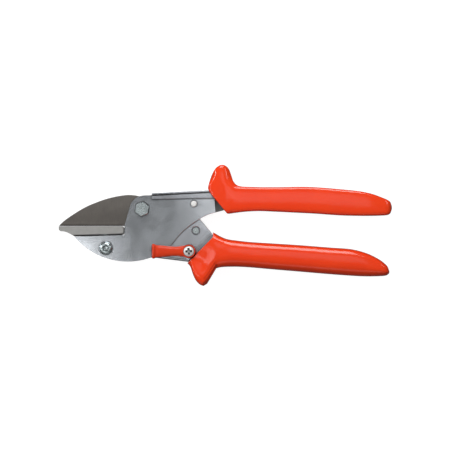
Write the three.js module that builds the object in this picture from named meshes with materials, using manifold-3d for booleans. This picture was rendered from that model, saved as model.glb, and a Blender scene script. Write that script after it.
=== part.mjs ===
// An anvil pruner, lying flat on its back: a wide blade closes on a flat anvil.
// Two steel plates carry the anvil and belong to the upper handle. Between them turns the lower
// lever, which holds the blade. A torsion spring opens the tool and a thumb latch is mounted on the lever.
// Millimetres. +X runs from the pivot to the handles, +Y from the lower handle to the upper one,
// +Z towards the side with the latch. The origin is on the pivot axis, in the plane the tool lies on.
import * as THREE from "three";
import { mergeVertices } from "three/addons/utils/BufferGeometryUtils.js";
import Module from "manifold-3d";

const wasm = await Module();
wasm.setup();

// Clearances shared by every piece
const runGap = 0.3; // between faces that slide or turn past each other
const seatGap = 0.1; // between faces that are clamped, riveted or glued
const biteGap = 0.2; // between the blade's edge and the anvil, closed
const overrun = 1; // how far a cutting tool runs past what it cuts
const mergeReach = 1e-4; // corners closer than this are one corner

// Blade: a coated steel leaf with a tang that is riveted between the lever's cheeks
const blade = {
  thickness: 3,
  edgeThickness: 0.4,
  reach: 52.5, // pivot to point
  edgeDrop: 10.7, // pivot down to the cutting edge
  backRise: 8.9, // pivot up to the top of the back
  grindHeight: 13, // height of the ground flanks above the edge
  grindEnd: 9.5, // pivot to the end of the ground flanks
  bossRadius: 6.9,
  tangReach: 23,
  tangDegrees: -47,
};
const bladeBackShares = [
  [0, 0.026],
  [0.07, 0.193],
  [0.19, 0.412],
  [0.31, 0.601],
  [0.43, 0.743],
  [0.55, 0.859],
  [0.67, 0.942],
  [0.79, 0.994],
  [0.862, 1],
  [0.946, 0.971],
  [1, 0.898],
];
const bladeHeelShares = [
  [1, 0.3],
  [0.93, 0],
];

// Rivets through the tang, and the rivet that the spring's leg pushes on, which sits in a recess
const bladeRivet = { radius: 1.5, firstReach: 11.5, secondReach: 19.5 };
const springRivet = {
  radius: 1.6,
  headRadius: 2.2,
  headHeight: 0.5,
  recessRadius: 2.7,
  recessDepth: 0.8,
  x: 33.8,
  y: -13.6,
};

// Lower lever: a pressed channel whose cheeks turn on the pivot bush
const lever = {
  sheet: 1.5,
  bossRadius: 7.2,
  heelX: 1,
  heelDrop: 30.5,
  webStartX: 9.2,
  webStartDrop: 30.9,
  mouthDrop: 33.4, // pivot down to the bottom edge, below the latch screw
  shoulderAhead: 2.5, // from the spring rivet towards the handles
  shoulderDrop: 6.2,
  elbowAhead: 0.2,
  elbowDrop: 4.2,
  throatAhead: 10.7,
  throatDrop: 16.1,
  flangeHeight: 4,
  tailWidth: 13, // outside width of the channel inside the grip
  tailEndShare: 0.74, // of the grip's length
};

// Plates: two flat steel cheeks, one in front of the lever and one behind it
const plate = {
  thickness: 2,
  browReach: 11.1, // pivot to the front edge where it meets the anvil
  browRise: 8.7, // pivot up to the top edge
  browFlatX: 6,
  topSlopeDegrees: 3,
  tailReach: 46.2, // pivot to the end of the front plate
  rearTailExtra: 13, // how much further the rear plate reaches into the grip
  heelReach: 11.7,
  heelDrop: 28.9,
  heelRadius: 1.5,
  bellyDrop: 33.1,
  bellyX: -9, // where the belly is lowest
  noseDrop: 17.3,
  seatDrop: 16.4, // pivot down to the edge that carries the anvil, at its inner end
};
const browShares = [
  [1, -1.21],
  [0.9, -0.724],
  [0.81, -0.322],
  [0.73, 0.034],
  [0.657, 0.31],
  [0.558, 0.53],
  [0.41, 0.74],
  [0.2, 0.9],
  [-0.07, 0.985],
];
const throatShares = [
  [1, 0.073],
  [0.893, 0.128],
  [0.785, 0.215],
  [0.675, 0.329],
  [0.58, 0.446],
  [0.497, 0.578],
  [0.437, 0.699],
  [0.389, 0.785],
];

// Anvil: a soft metal bar with a tang that is clamped between the plates
const anvil = {
  proud: 0.8, // how far the bar stands out past each plate
  undercut: 1, // sloped face under the bar's overhang
  chamfer: 0.5,
  endGap: 0.5, // between the bar's inner end and the plates
  cornerRadius: 1.3,
  tipHeight: 3.2,
  tipLength: 9.9, // how far the bar's tip reaches past the plates' nose
  tangRise: 2.3, // how far the tang reaches up into the bar
  tangSetback: 1.4, // the tang ends this far before the bar
  tangMargin: 3.9, // below the middle of the anvil screw
};
const anvilTipShares = [
  [0, 0.62],
  [0.12, 0.97],
  [0.36, 1.02],
  [0.6, 1.28],
  [0.82, 1.62],
];
const anvilTangShares = [
  [0.66, 1],
  [0.32, 0.83],
  [0.06, 0.3],
];

// Upper handle: a pressed channel, web upwards, that grips the plates' top edges
const channel = {
  sheet: 1.2,
  startX: 6.1,
  lipHeight: 3.9, // web top to the flanges' lower edge, in front of the grip
  rivetRadius: 1.5,
  rivetAhead: 8.3, // from the front plate's end
  rivetY: 5.4,
  tailEndShare: 0.74, // of the grip's length
};

// Grips: plastic bodies moulded over the channels' tails
const grip = {
  sideWall: 2, // plastic beside the upper channel
  wall: 3.4, // plastic above and below the tails
  height: 15.8,
  upperStart: 1.6, // the body starts this far before the mouth's upper corner
  upperLength: 117.9,
  upperLineY: 5.7,
  lowerStart: 18.1, // the body starts this far before the mouth's knee
  lowerLength: 129.3,
  lowerLineY: -32.2,
};
const gripRingPoints = 28;
const ringFlatShare = 1.07; // how far a ring's round would bulge past its flat sides
// Rows: place along the grip, top, bottom, half thickness and squareness
const upperGripShares = [
  [0, 0.3, -0.54, 0.86, 3.4],
  [0.0125, 0.38, -0.54, 0.87, 3.4],
  [0.018, 0.56, -0.545, 0.88, 3.2],
  [0.028, 0.82, -0.545, 0.91, 3],
  [0.043, 1.1, -0.545, 0.94, 2.8],
  [0.062, 1.3, -0.545, 0.97, 2.7],
  [0.087, 1.402, -0.548, 1, 2.6],
  [0.112, 1.362, -0.548, 1, 2.6],
  [0.13, 1.218, -0.548, 1, 2.6],
  [0.141, 1, -0.54, 1, 2.7],
  [0.151, 0.768, -0.528, 1, 2.8],
  [0.168, 0.608, -0.51, 1, 3],
  [0.192, 0.543, -0.487, 1, 3],
  [0.24, 0.52, -0.455, 1, 3],
  [0.3, 0.51, -0.443, 1, 3],
  [0.4, 0.51, -0.475, 1, 3],
  [0.51, 0.523, -0.515, 1, 3],
  [0.59, 0.507, -0.545, 1, 3],
  [0.72, 0.431, -0.612, 1, 3],
  [0.83, 0.343, -0.635, 1, 3],
  [0.895, 0.24, -0.635, 0.99, 3],
  [0.943, 0.11, -0.625, 0.95, 2.9],
  [0.977, 0, -0.6, 0.87, 2.8],
  [0.992, -0.09, -0.53, 0.7, 2.6],
  [1, -0.24, -0.38, 0.4, 2.4],
];
const lowerGripShares = [
  [0, 1, -0.03, 0.56, 3.4],
  [0.013, 1.02, -0.12, 0.6, 3.4],
  [0.03, 1.05, -0.28, 0.66, 3.2],
  [0.04, 1.06, -0.53, 0.72, 3],
  [0.054, 1.08, -0.785, 0.8, 2.8],
  [0.072, 1.1, -0.956, 0.87, 2.7],
  [0.089, 1.12, -1.038, 0.92, 2.6],
  [0.106, 1.13, -1.013, 0.945, 2.6],
  [0.119, 1.135, -0.867, 0.95, 2.7],
  [0.13, 1.13, -0.715, 0.955, 2.9],
  [0.14, 1.11, -0.506, 0.96, 3.2],
  [0.155, 1.05, -0.354, 0.97, 3.4],
  [0.172, 0.965, -0.3, 0.98, 3.4],
  [0.198, 0.867, -0.278, 0.99, 3.2],
  [0.223, 0.816, -0.272, 1, 3],
  [0.26, 0.775, -0.272, 1, 3],
  [0.32, 0.722, -0.297, 1, 3],
  [0.418, 0.671, -0.367, 1, 3],
  [0.564, 0.595, -0.468, 1, 3],
  [0.711, 0.5, -0.57, 1, 3],
  [0.808, 0.443, -0.627, 1, 3],
  [0.857, 0.361, -0.65, 1, 3],
  [0.906, 0.222, -0.658, 0.99, 3],
  [0.954, 0.013, -0.648, 0.95, 2.9],
  [0.978, -0.139, -0.633, 0.87, 2.8],
  [0.992, -0.26, -0.6, 0.73, 2.6],
  [1, -0.42, -0.54, 0.42, 2.4],
];
// Each grip's mouth has a knee: a slanted edge runs down from it, and a straight one up
const upperMouth = { lap: 5.1, kneeY: 12, degrees: -50.2 }; // lap: how far the front plate reaches past it
const lowerMouth = { kneeY: -17.7, latchRoom: 0.5 }; // its slant just clears the latch's eye

// Pivot: hexagon bolt, bush and nut
const pivot = {
  boltRadius: 2.5,
  headFlats: 8,
  headHeight: 3.4,
  headTurnDegrees: -9,
  bushRadius: 4,
  nutFlats: 8,
  nutHeight: 2.9,
  chamfer: 0.5,
};

// Anvil screw: domed head with a hexagon socket, and its nut
const anvilScrew = {
  x: -22.8,
  y: -24.7,
  radius: 2,
  headRadius: 4.1,
  headHeight: 2.3,
  socketFlats: 3.2,
  socketDepth: 1.4,
  nutFlats: 7,
  nutHeight: 2.8,
};

// Spring: a torsion spring on a stud, one leg hooked in the rear plate, one leg on the spring rivet
const stud = { radius: 1.85, y: 3.3, stand: 1.3 };
const spring = {
  wire: 1.1,
  coilRadius: 3.5, // to the middle of the wire
  hookLeg: 6,
  hookDepth: 1.4,
  bendDrop: 8.5,
  driveOffset: 0.6,
  driveRoom: 2, // between the driving leg's end and the lever's web
};
const springTurns = 3;
const springBendShare = 0.7; // where the driving leg starts to bend, in coil radii
const springSteps = 8; // per turn
const springSides = 5;

// Latch: a moulded thumb lever that turns on a cross-head screw in the lower lever
const latch = { behind: 4.4, rise: 6.8, length: 23.2, thickness: 3.4, rim: 0.8, seatDepth: 1 };
// Behind the spring rivet, and above the lever's bottom edge. Rows: place from the free end to the eye,
// half height and half thickness
const latchShares = [
  [0, 0.97, 0.74],
  [0.015, 1.08, 0.94],
  [0.045, 1.12, 1.05],
  [0.075, 1.12, 1.05],
  [0.1, 1.07, 1],
  [0.125, 0.95, 0.93],
  [0.16, 0.93, 0.93],
  [0.25, 0.89, 0.94],
  [0.5, 0.75, 0.92],
  [0.65, 0.7, 0.92],
  [0.8, 0.79, 0.94],
  [0.92, 0.87, 0.96],
  [1, 0.87, 0.96],
];
const latchRingPoints = 16;
const latchScrew = {
  radius: 1.9,
  headRadius: 3.3,
  headHeight: 1.8,
  washerRadius: 3.6,
  washerHeight: 0.5,
  slotWidth: 1.1,
  slotLength: 4.2,
  slotDepth: 1.1,
  nutFlats: 6.5,
  nutHeight: 2.4,
  endStand: 0.5,
};

// Levels across the tool, measured from its middle plane
const bladeHalf = blade.thickness / 2;
const cheekInner = bladeHalf + seatGap;
const cheekOuter = cheekInner + lever.sheet;
const plateInner = cheekOuter + runGap;
const plateOuter = plateInner + plate.thickness;
const channelInner = plateOuter + seatGap;
const channelOuter = channelInner + channel.sheet;
const gripHalf = channelOuter + grip.sideWall;
const latchFloor = plateOuter + runGap;
const latchMiddle = latchFloor + latch.thickness / 2;
const latchTop = latchFloor + latch.thickness;

// Places that several pieces share
const noseX = anvil.tipLength - blade.reach;
const throatX = springRivet.x + lever.throatAhead;
const latchX = springRivet.x - latch.behind;
const latchY = latch.rise - lever.mouthDrop;
const eyeRadius = latchScrew.headRadius + latch.rim;
const driveX = springRivet.x + springRivet.radius + seatGap + spring.wire / 2;
const studX = driveX - spring.coilRadius;
const hookX = studX - spring.hookLeg;
const hookY = stud.y + spring.coilRadius;
const upperMouthX = plate.tailReach - upperMouth.lap;
const upperStartX = upperMouthX - grip.upperStart;
const lowerMouthX = throatX + seatGap;
const lowerStartX = lowerMouthX - grip.lowerStart;
const rearTailX = plate.tailReach + plate.rearTailExtra;
const channelRivetX = plate.tailReach + channel.rivetAhead;

// Materials
const paint = (name, color, roughness, metalness) =>
  new THREE.MeshStandardMaterial({ name, color, roughness, metalness });
const plateSteel = paint("plate_steel", 0x9a9da1, 0.38, 0.9);
const handleSteel = paint("handle_steel", 0x85898c, 0.42, 0.9);
const coatedBlade = paint("coated_blade", 0x5f5b57, 0.55, 0.25);
const anvilMetal = paint("anvil_metal", 0xa5a39b, 0.45, 0.7);
const fastenerZinc = paint("fastener_zinc", 0xaab4b4, 0.3, 0.9);
const springWire = paint("spring_wire", 0x6d6f72, 0.35, 0.9);
const gripPlastic = paint("grip_plastic", 0xf04a24, 0.3, 0);
const latchPlastic = paint("latch_plastic", 0xd93a1e, 0.4, 0);

// A closed geometry as a solid that can be joined and cut
function solidOf(geometry) {
  const bare = new THREE.BufferGeometry();
  bare.setAttribute("position", geometry.getAttribute("position"));
  if (geometry.index) bare.setIndex(geometry.index);
  const merged = mergeVertices(bare, mergeReach);
  const solid = new wasm.Manifold(
    new wasm.Mesh({
      numProp: 3,
      vertProperties: new Float32Array(merged.getAttribute("position").array),
      triVerts: new Uint32Array(merged.index.array),
    }),
  );
  return solid;
}

function geometryOf(solid) {
  const made = solid.getMesh();
  const positions = new Float32Array(made.numVert * 3);
  for (let i = 0; i < made.numVert; i += 1) {
    const from = i * made.numProp;
    positions.set(made.vertProperties.subarray(from, from + 3), i * 3);
  }
  const geometry = new THREE.BufferGeometry();
  geometry.setAttribute("position", new THREE.BufferAttribute(positions, 3));
  geometry.setIndex(new THREE.BufferAttribute(new Uint32Array(made.triVerts), 1));
  geometry.computeVertexNormals();
  return geometry;
}

// A flat outline in the tool's plane, extruded between two levels
function prism(points, low, high) {
  const outline = new THREE.Shape(points);
  const geometry = new THREE.ExtrudeGeometry(outline, { depth: high - low, bevelEnabled: false });
  geometry.translate(0, 0, low);
  return solidOf(geometry);
}

function cylinder(x, y, radius, low, high, sides = 32) {
  const geometry = new THREE.CylinderGeometry(radius, radius, high - low, sides);
  geometry.rotateX(Math.PI / 2);
  geometry.translate(x, y, (low + high) / 2);
  return solidOf(geometry);
}

// A round body about an axis along Z, from a profile of radius and level
function turned(x, y, profile, sides = 32) {
  const points = profile.map(([radius, level]) => new THREE.Vector2(radius, level));
  const geometry = new THREE.LatheGeometry(points, sides);
  geometry.rotateX(Math.PI / 2);
  geometry.translate(x, y, 0);
  return solidOf(geometry);
}

// A hexagon with its outer corners turned down, from low to high, chamfered where asked
function hexagon(x, y, flats, low, high, turnDegrees, chamferLow, chamferHigh) {
  const corner = flats / Math.sqrt(3);
  const geometry = new THREE.CylinderGeometry(corner, corner, high - low, 6);
  geometry.rotateX(Math.PI / 2);
  geometry.rotateZ(THREE.MathUtils.degToRad(turnDegrees));
  geometry.translate(x, y, (low + high) / 2);
  const inner = flats / 2;
  const profile = [
    [0, low],
    [chamferLow ? inner : corner, low],
    [corner, low + chamferLow],
    [corner, high - chamferHigh],
    [chamferHigh ? inner : corner, high],
    [0, high],
  ];
  return solidOf(geometry).intersect(turned(x, y, profile));
}

// Joins rings of points, each a closed loop with the same count, into one closed body
function loft(rings) {
  const count = rings[0].length;
  const positions = [];
  const faces = [];
  for (const ring of rings) for (const point of ring) positions.push(point.x, point.y, point.z);
  for (let i = 0; i + 1 < rings.length; i += 1) {
    for (let j = 0; j < count; j += 1) {
      const next = (j + 1) % count;
      const a = i * count + j;
      const b = i * count + next;
      const c = (i + 1) * count + j;
      const d = (i + 1) * count + next;
      faces.push(a, b, c, b, d, c);
    }
  }
  const cap = (ring) => {
    const flat = ring.map((point) => new THREE.Vector2(point.y, point.z));
    const made = THREE.ShapeUtils.triangulateShape(flat, []);
    return THREE.ShapeUtils.isClockWise(flat) ? made.map(([a, b, c]) => [a, c, b]) : made;
  };
  const last = (rings.length - 1) * count;
  for (const [a, b, c] of cap(rings[0])) faces.push(a, c, b);
  for (const [a, b, c] of cap(rings[rings.length - 1])) faces.push(last + a, last + b, last + c);
  const geometry = new THREE.BufferGeometry();
  geometry.setAttribute("position", new THREE.Float32BufferAttribute(positions, 3));
  geometry.setIndex(faces);
  const solid = solidOf(geometry);
  if (solid.volume() > 0) return solid;
  for (let i = 0; i < faces.length; i += 3) [faces[i + 1], faces[i + 2]] = [faces[i + 2], faces[i + 1]];
  geometry.setIndex(faces);
  return solidOf(geometry);
}

// A smooth row of a table at any place along it, the place being its first value
function rowAt(table, place) {
  let i = 1;
  while (i < table.length - 1 && table[i][0] < place) i += 1;
  const before = table[i - 1];
  const after = table[i];
  const earlier = table[Math.max(i - 2, 0)];
  const later = table[Math.min(i + 1, table.length - 1)];
  const t = (place - before[0]) / (after[0] - before[0]);
  return before.map((value, k) => {
    if (k === 0) return place;
    const span = after[0] - before[0];
    const slopeBefore = ((after[k] - earlier[k]) / (after[0] - earlier[0])) * span;
    const slopeAfter = ((later[k] - value) / (later[0] - before[0])) * span;
    const t2 = t * t;
    const t3 = t2 * t;
    return (
      value * (2 * t3 - 3 * t2 + 1) +
      slopeBefore * (t3 - 2 * t2 + t) +
      after[k] * (3 * t2 - 2 * t3) +
      slopeAfter * (t3 - t2)
    );
  });
}

// Places along a table: its own rows, and extra ones spread evenly in each gap wider than most
function placesOf(table, widest) {
  const places = [table[0][0]];
  for (let i = 1; i < table.length; i += 1) {
    const from = table[i - 1][0];
    const steps = Math.ceil((table[i][0] - from) / widest);
    for (let k = 1; k <= steps; k += 1) places.push(from + ((table[i][0] - from) * k) / steps);
  }
  return places;
}

// A rounded ring across the tool at x: a superellipse between two heights, with flat sides
function roundRing(x, top, bottom, half, squareness, count, middle = 0) {
  const ring = [];
  for (let i = 0; i < count; i += 1) {
    const angle = (i / count) * 2 * Math.PI;
    const c = Math.cos(angle);
    const s = Math.sin(angle);
    const power = 2 / squareness;
    const up = Math.sign(s) * Math.abs(s) ** power;
    const out = Math.sign(c) * Math.min(1, ringFlatShare * Math.abs(c) ** power);
    ring.push(new THREE.Vector3(x, (top + bottom) / 2 + (up * (top - bottom)) / 2, middle + out * half));
  }
  return ring;
}

const boxRing = (x, top, bottom, half) => [
  new THREE.Vector3(x, top, half),
  new THREE.Vector3(x, top, -half),
  new THREE.Vector3(x, bottom, -half),
  new THREE.Vector3(x, bottom, half),
];

// A U-shaped ring: web at one height, flanges reaching to the other
function channelRing(x, web, rim, half, sheet) {
  const inside = web + Math.sign(rim - web) * sheet;
  const inner = half - sheet;
  return [
    new THREE.Vector3(x, web, half),
    new THREE.Vector3(x, web, -half),
    new THREE.Vector3(x, rim, -half),
    new THREE.Vector3(x, rim, -inner),
    new THREE.Vector3(x, inside, -inner),
    new THREE.Vector3(x, inside, inner),
    new THREE.Vector3(x, rim, inner),
    new THREE.Vector3(x, rim, half),
  ];
}

const vectors = (rows) => rows.map(([x, y]) => new THREE.Vector2(x, y));
const scaled = (shares, x, y) => shares.map(([u, v]) => [u * x, v * y]);
const smooth = (rows, steps) =>
  new THREE.SplineCurve(vectors(rows)).getPoints(steps).map((point) => [point.x, point.y]);

function arc(x, y, radius, fromDegrees, toDegrees, steps) {
  const rows = [];
  for (let i = 0; i <= steps; i += 1) {
    const angle = THREE.MathUtils.degToRad(fromDegrees + ((toDegrees - fromDegrees) * i) / steps);
    rows.push([x + radius * Math.cos(angle), y + radius * Math.sin(angle)]);
  }
  return rows;
}

const piece = (name, solid, material) => {
  const mesh = new THREE.Mesh(geometryOf(solid), material);
  mesh.name = name;
  return mesh;
};

const tangAngle = THREE.MathUtils.degToRad(blade.tangDegrees);
const alongTang = (reach) => [reach * Math.cos(tangAngle), reach * Math.sin(tangAngle)];

// A bar with round ends from the pivot along the tang
function tangBar(reach, radius, low, high) {
  const turn = blade.tangDegrees;
  const [x, y] = alongTang(reach);
  const rows = [
    ...arc(0, 0, radius, turn + 90, turn + 270, 20),
    ...arc(x, y, radius, turn - 90, turn + 90, 12),
  ];
  return prism(vectors(rows), low, high);
}

function makeBlade() {
  const height = blade.backRise + blade.edgeDrop;
  const place = ([u, v]) => [(u - 1) * blade.reach, v * height - blade.edgeDrop];
  const back = smooth(bladeBackShares.map(place), 40);
  const outline = [...back, ...bladeHeelShares.map(place), place([0, 0])].reverse();
  let solid = prism(vectors(outline), -bladeHalf, bladeHalf);
  solid = solid.add(tangBar(blade.tangReach, blade.bossRadius, -bladeHalf, bladeHalf));
  const edge = -blade.edgeDrop;
  const edgeHalf = blade.edgeThickness / 2;
  for (const side of [1, -1]) {
    const wedge = (x) => [
      new THREE.Vector3(x, edge, side * edgeHalf),
      new THREE.Vector3(x, edge - overrun, side * edgeHalf),
      new THREE.Vector3(x, edge - overrun, side * (bladeHalf + overrun)),
      new THREE.Vector3(x, edge + blade.grindHeight, side * (bladeHalf + overrun)),
      new THREE.Vector3(x, edge + blade.grindHeight, side * bladeHalf),
    ];
    solid = solid.subtract(loft([wedge(-blade.reach - overrun), wedge(-blade.grindEnd)]));
  }
  solid = solid.subtract(cylinder(0, 0, pivot.bushRadius + seatGap, -bladeHalf - overrun, bladeHalf + overrun));
  for (const reach of [bladeRivet.firstReach, bladeRivet.secondReach]) {
    const [x, y] = alongTang(reach);
    solid = solid.subtract(
      cylinder(x, y, bladeRivet.radius + seatGap, -bladeHalf - overrun, bladeHalf + overrun, 20),
    );
  }
  return piece("blade", solid, coatedBlade);
}

function makeBladeRivets() {
  return [bladeRivet.firstReach, bladeRivet.secondReach].map((reach, i) => {
    const [x, y] = alongTang(reach);
    const shank = cylinder(x, y, bladeRivet.radius, -cheekOuter, cheekOuter, 20);
    return piece(`blade_rivet_${i + 1}`, shank, fastenerZinc);
  });
}

// The plates' belly is an arc through the nose and the lowest point
const bellyHeight = plate.bellyDrop - plate.noseDrop;
const bellyRadius = ((noseX - plate.bellyX) ** 2 + bellyHeight ** 2) / (2 * bellyHeight);
const bellyCentreY = bellyRadius - plate.bellyDrop;
const bellyDegrees = (x) => THREE.MathUtils.radToDeg(-Math.acos((x - plate.bellyX) / bellyRadius));

// The underside of the plates' tails, where the front one ends
const plateTailY = -throatShares[0][1] * plate.heelDrop;

// The plates' shared outline, with the tail's end given
function plateOutline(tailReach) {
  const brow = smooth(
    browShares.map(([u, v]) => [-u * plate.browReach, v * plate.browRise]),
    24,
  );
  const slope = Math.tan(THREE.MathUtils.degToRad(plate.topSlopeDegrees));
  const topAt = (x) => plate.browRise + (x - plate.browFlatX) * slope;
  const throat = smooth(scaled(throatShares, plate.tailReach, -plate.heelDrop), 24);
  const belly = arc(
    plate.bellyX,
    bellyCentreY,
    bellyRadius,
    bellyDegrees(plate.heelReach - plate.heelRadius),
    bellyDegrees(noseX),
    32,
  );
  const tail =
    tailReach > plate.tailReach
      ? [
          [tailReach, topAt(tailReach) - grip.wall],
          [tailReach, plateTailY + grip.wall],
        ]
      : [];
  const clockwise = [
    ...brow,
    [plate.browFlatX, plate.browRise],
    [plate.tailReach - plate.thickness / 2, topAt(plate.tailReach - plate.thickness / 2)],
    ...tail,
    ...throat,
    [plate.heelReach + plate.heelRadius, -plate.heelDrop + plate.heelRadius * 2],
    ...belly,
    [-plate.browReach - plate.thickness / 4, -plate.seatDrop],
    [-plate.browReach, -plate.seatDrop + plate.thickness / 4],
  ];
  return vectors(clockwise.reverse());
}

const boltHole = (x, y, radius) => cylinder(x, y, radius + seatGap, -gripHalf - overrun, gripHalf + overrun);

function makePlates() {
  const front = prism(plateOutline(plate.tailReach), plateInner, plateOuter);
  const rear = prism(plateOutline(rearTailX), -plateOuter, -plateInner);
  const drilled = (solid) =>
    solid
      .subtract(boltHole(0, 0, pivot.boltRadius))
      .subtract(boltHole(anvilScrew.x, anvilScrew.y, anvilScrew.radius))
      .subtract(boltHole(studX, stud.y, stud.radius));
  const rivetHole = boltHole(channelRivetX, channel.rivetY, channel.rivetRadius);
  const hookHole = cylinder(hookX, hookY, spring.wire / 2 + runGap, -plateOuter - overrun, 0, 16);
  return [
    piece("front_plate", drilled(front), plateSteel),
    piece("rear_plate", drilled(rear).subtract(hookHole).subtract(rivetHole), plateSteel),
  ];
}

function makeAnvil() {
  const top = -blade.edgeDrop - biteGap;
  const tipX = -blade.reach;
  const seatLine = (x) => {
    const share = (x - noseX) / (-plate.browReach - noseX);
    return -plate.noseDrop + (plate.noseDrop - plate.seatDrop) * share + seatGap;
  };
  const innerX = -plate.browReach - anvil.endGap;
  const r = anvil.cornerRadius;
  const tip = anvilTipShares.map(([u, v]) => [tipX + u * anvil.tipLength, top - v * anvil.tipHeight]);
  const bar = [
    ...arc(innerX - r, top - r, r, 90, 0, 6),
    [innerX, seatLine(innerX) + r],
    [innerX - r, seatLine(innerX - r)],
    [noseX, seatLine(noseX)],
    ...smooth(tip, 12).reverse(),
    [tipX, top],
  ];
  const tangStart = noseX + anvil.tipLength / 4;
  const tangEnd = innerX - anvil.tangSetback;
  const tangLength = tangEnd - tangStart;
  const tangTop = seatLine(innerX) + anvil.tangRise;
  const tangBottom = anvilScrew.y - anvil.tangMargin;
  const tangHeight = tangTop - tangBottom;
  const tang = [
    [tangStart, tangTop],
    [tangEnd, tangTop],
    [tangEnd, tangBottom],
    ...anvilTangShares.map(([u, v]) => [tangStart + u * tangLength, tangTop - v * tangHeight]),
  ];
  const half = plateOuter + anvil.proud;
  const tangHalf = plateInner - seatGap;
  // Across the bar: chamfered top edges, and a slope under each overhang
  const across = (x) => {
    const slopeTop = seatLine(x) + anvil.undercut;
    const outer = [
      [half - anvil.chamfer, top],
      [half, top - anvil.chamfer],
      [half, slopeTop],
      [plateOuter - anvil.undercut / 2, seatLine(x)],
      [plateOuter - anvil.undercut / 2, seatLine(x) - overrun],
    ];
    return [
      ...outer.map(([z, y]) => new THREE.Vector3(x, y, z)),
      ...outer.reverse().map(([z, y]) => new THREE.Vector3(x, y, -z)),
    ];
  };
  let solid = prism(vectors(bar.reverse()), -half, half);
  solid = solid.intersect(loft([across(tipX - overrun), across(innerX + overrun)]));
  solid = solid.add(prism(vectors(tang.reverse()), -tangHalf, tangHalf));
  solid = solid.subtract(boltHole(anvilScrew.x, anvilScrew.y, anvilScrew.radius));
  return piece("anvil", solid, anvilMetal);
}

// A screw end that stands level with the plane the tool lies on
const restLevel = -gripHalf;

function makePivot() {
  const underHead = plateOuter + seatGap;
  const head = hexagon(
    0,
    0,
    pivot.headFlats,
    underHead,
    underHead + pivot.headHeight,
    pivot.headTurnDegrees,
    0,
    pivot.chamfer,
  );
  const shank = turned(0, 0, [
    [0, restLevel],
    [pivot.boltRadius - pivot.chamfer, restLevel],
    [pivot.boltRadius, restLevel + pivot.chamfer],
    [pivot.boltRadius, underHead + overrun],
    [0, underHead + overrun],
  ]);
  const nutTop = -plateOuter - seatGap;
  const nut = hexagon(0, 0, pivot.nutFlats, nutTop - pivot.nutHeight, nutTop, 0, pivot.chamfer, 0).subtract(
    boltHole(0, 0, pivot.boltRadius),
  );
  const bushHalf = plateInner - seatGap;
  const bush = cylinder(0, 0, pivot.bushRadius, -bushHalf, bushHalf).subtract(boltHole(0, 0, pivot.boltRadius));
  return [
    piece("pivot_bolt", head.add(shank), fastenerZinc),
    piece("pivot_nut", nut, fastenerZinc),
    piece("pivot_bush", bush, fastenerZinc),
  ];
}

function makeAnvilScrew() {
  const { x, y, radius, headRadius, headHeight } = anvilScrew;
  const seat = plateOuter + seatGap;
  const dome = [[0, restLevel], [radius, restLevel], [radius, seat], [headRadius, seat]];
  const rim = headHeight / 5;
  for (let i = 0; i <= 6; i += 1) {
    const angle = ((i / 6) * Math.PI) / 2.6;
    dome.push([headRadius * Math.cos(angle), seat + rim + (headHeight - rim) * Math.sin(angle)]);
  }
  dome.push([0, dome[dome.length - 1][1]]);
  const socketFloor = dome[dome.length - 1][1] - anvilScrew.socketDepth;
  const socketEnd = socketFloor + headHeight + overrun;
  const socket = hexagon(x, y, anvilScrew.socketFlats, socketFloor, socketEnd, 10, 0, 0);
  const nutTop = -plateOuter - seatGap;
  const nut = hexagon(
    x,
    y,
    anvilScrew.nutFlats,
    nutTop - anvilScrew.nutHeight,
    nutTop,
    12,
    pivot.chamfer,
    0,
  ).subtract(boltHole(x, y, radius));
  return [
    piece("anvil_screw", turned(x, y, dome).subtract(socket), fastenerZinc),
    piece("anvil_nut", nut, fastenerZinc),
  ];
}

// Heights of a grip at x, from its table
function gripAt(table, startX, length, lineY, x) {
  const share = Math.min(Math.max((x - startX) / length, 0), 1);
  const [, top, bottom, half, squareness] = rowAt(table, share);
  return {
    top: lineY + top * grip.height,
    bottom: lineY + bottom * grip.height,
    half: half * gripHalf,
    squareness,
  };
}

const upperAt = (x) => gripAt(upperGripShares, upperStartX, grip.upperLength, grip.upperLineY, x);
const lowerAt = (x) => gripAt(lowerGripShares, lowerStartX, grip.lowerLength, grip.lowerLineY, x);

function gripBody(table, startX, length, lineY) {
  const rings = placesOf(table, 0.03).map((share) => {
    const x = startX + share * length;
    const { top, bottom, half, squareness } = gripAt(table, startX, length, lineY, x);
    return roundRing(x, top, bottom, half, squareness, gripRingPoints);
  });
  return loft(rings);
}

// The lower mouth's slant runs past the latch's eye, seen from the knee
function lowerSlantDegrees() {
  const away = new THREE.Vector2(latchX - lowerMouthX, latchY - lowerMouth.kneeY);
  const aside = Math.asin((eyeRadius + lowerMouth.latchRoom) / away.length());
  return THREE.MathUtils.radToDeg(Math.atan2(away.y, away.x) + aside);
}

// Everything in front of a grip's mouth, given its knee and its slant
function beforeMouth(x, y, degrees) {
  const far = grip.upperLength;
  const slant = THREE.MathUtils.degToRad(degrees);
  const away = [x + far * Math.cos(slant), y + far * Math.sin(slant)];
  const rows = [[x, y], [x, y + far], [x - far, y + far], [x - far, away[1]], away];
  return prism(vectors(rows), -gripHalf - overrun, gripHalf + overrun);
}

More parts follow.
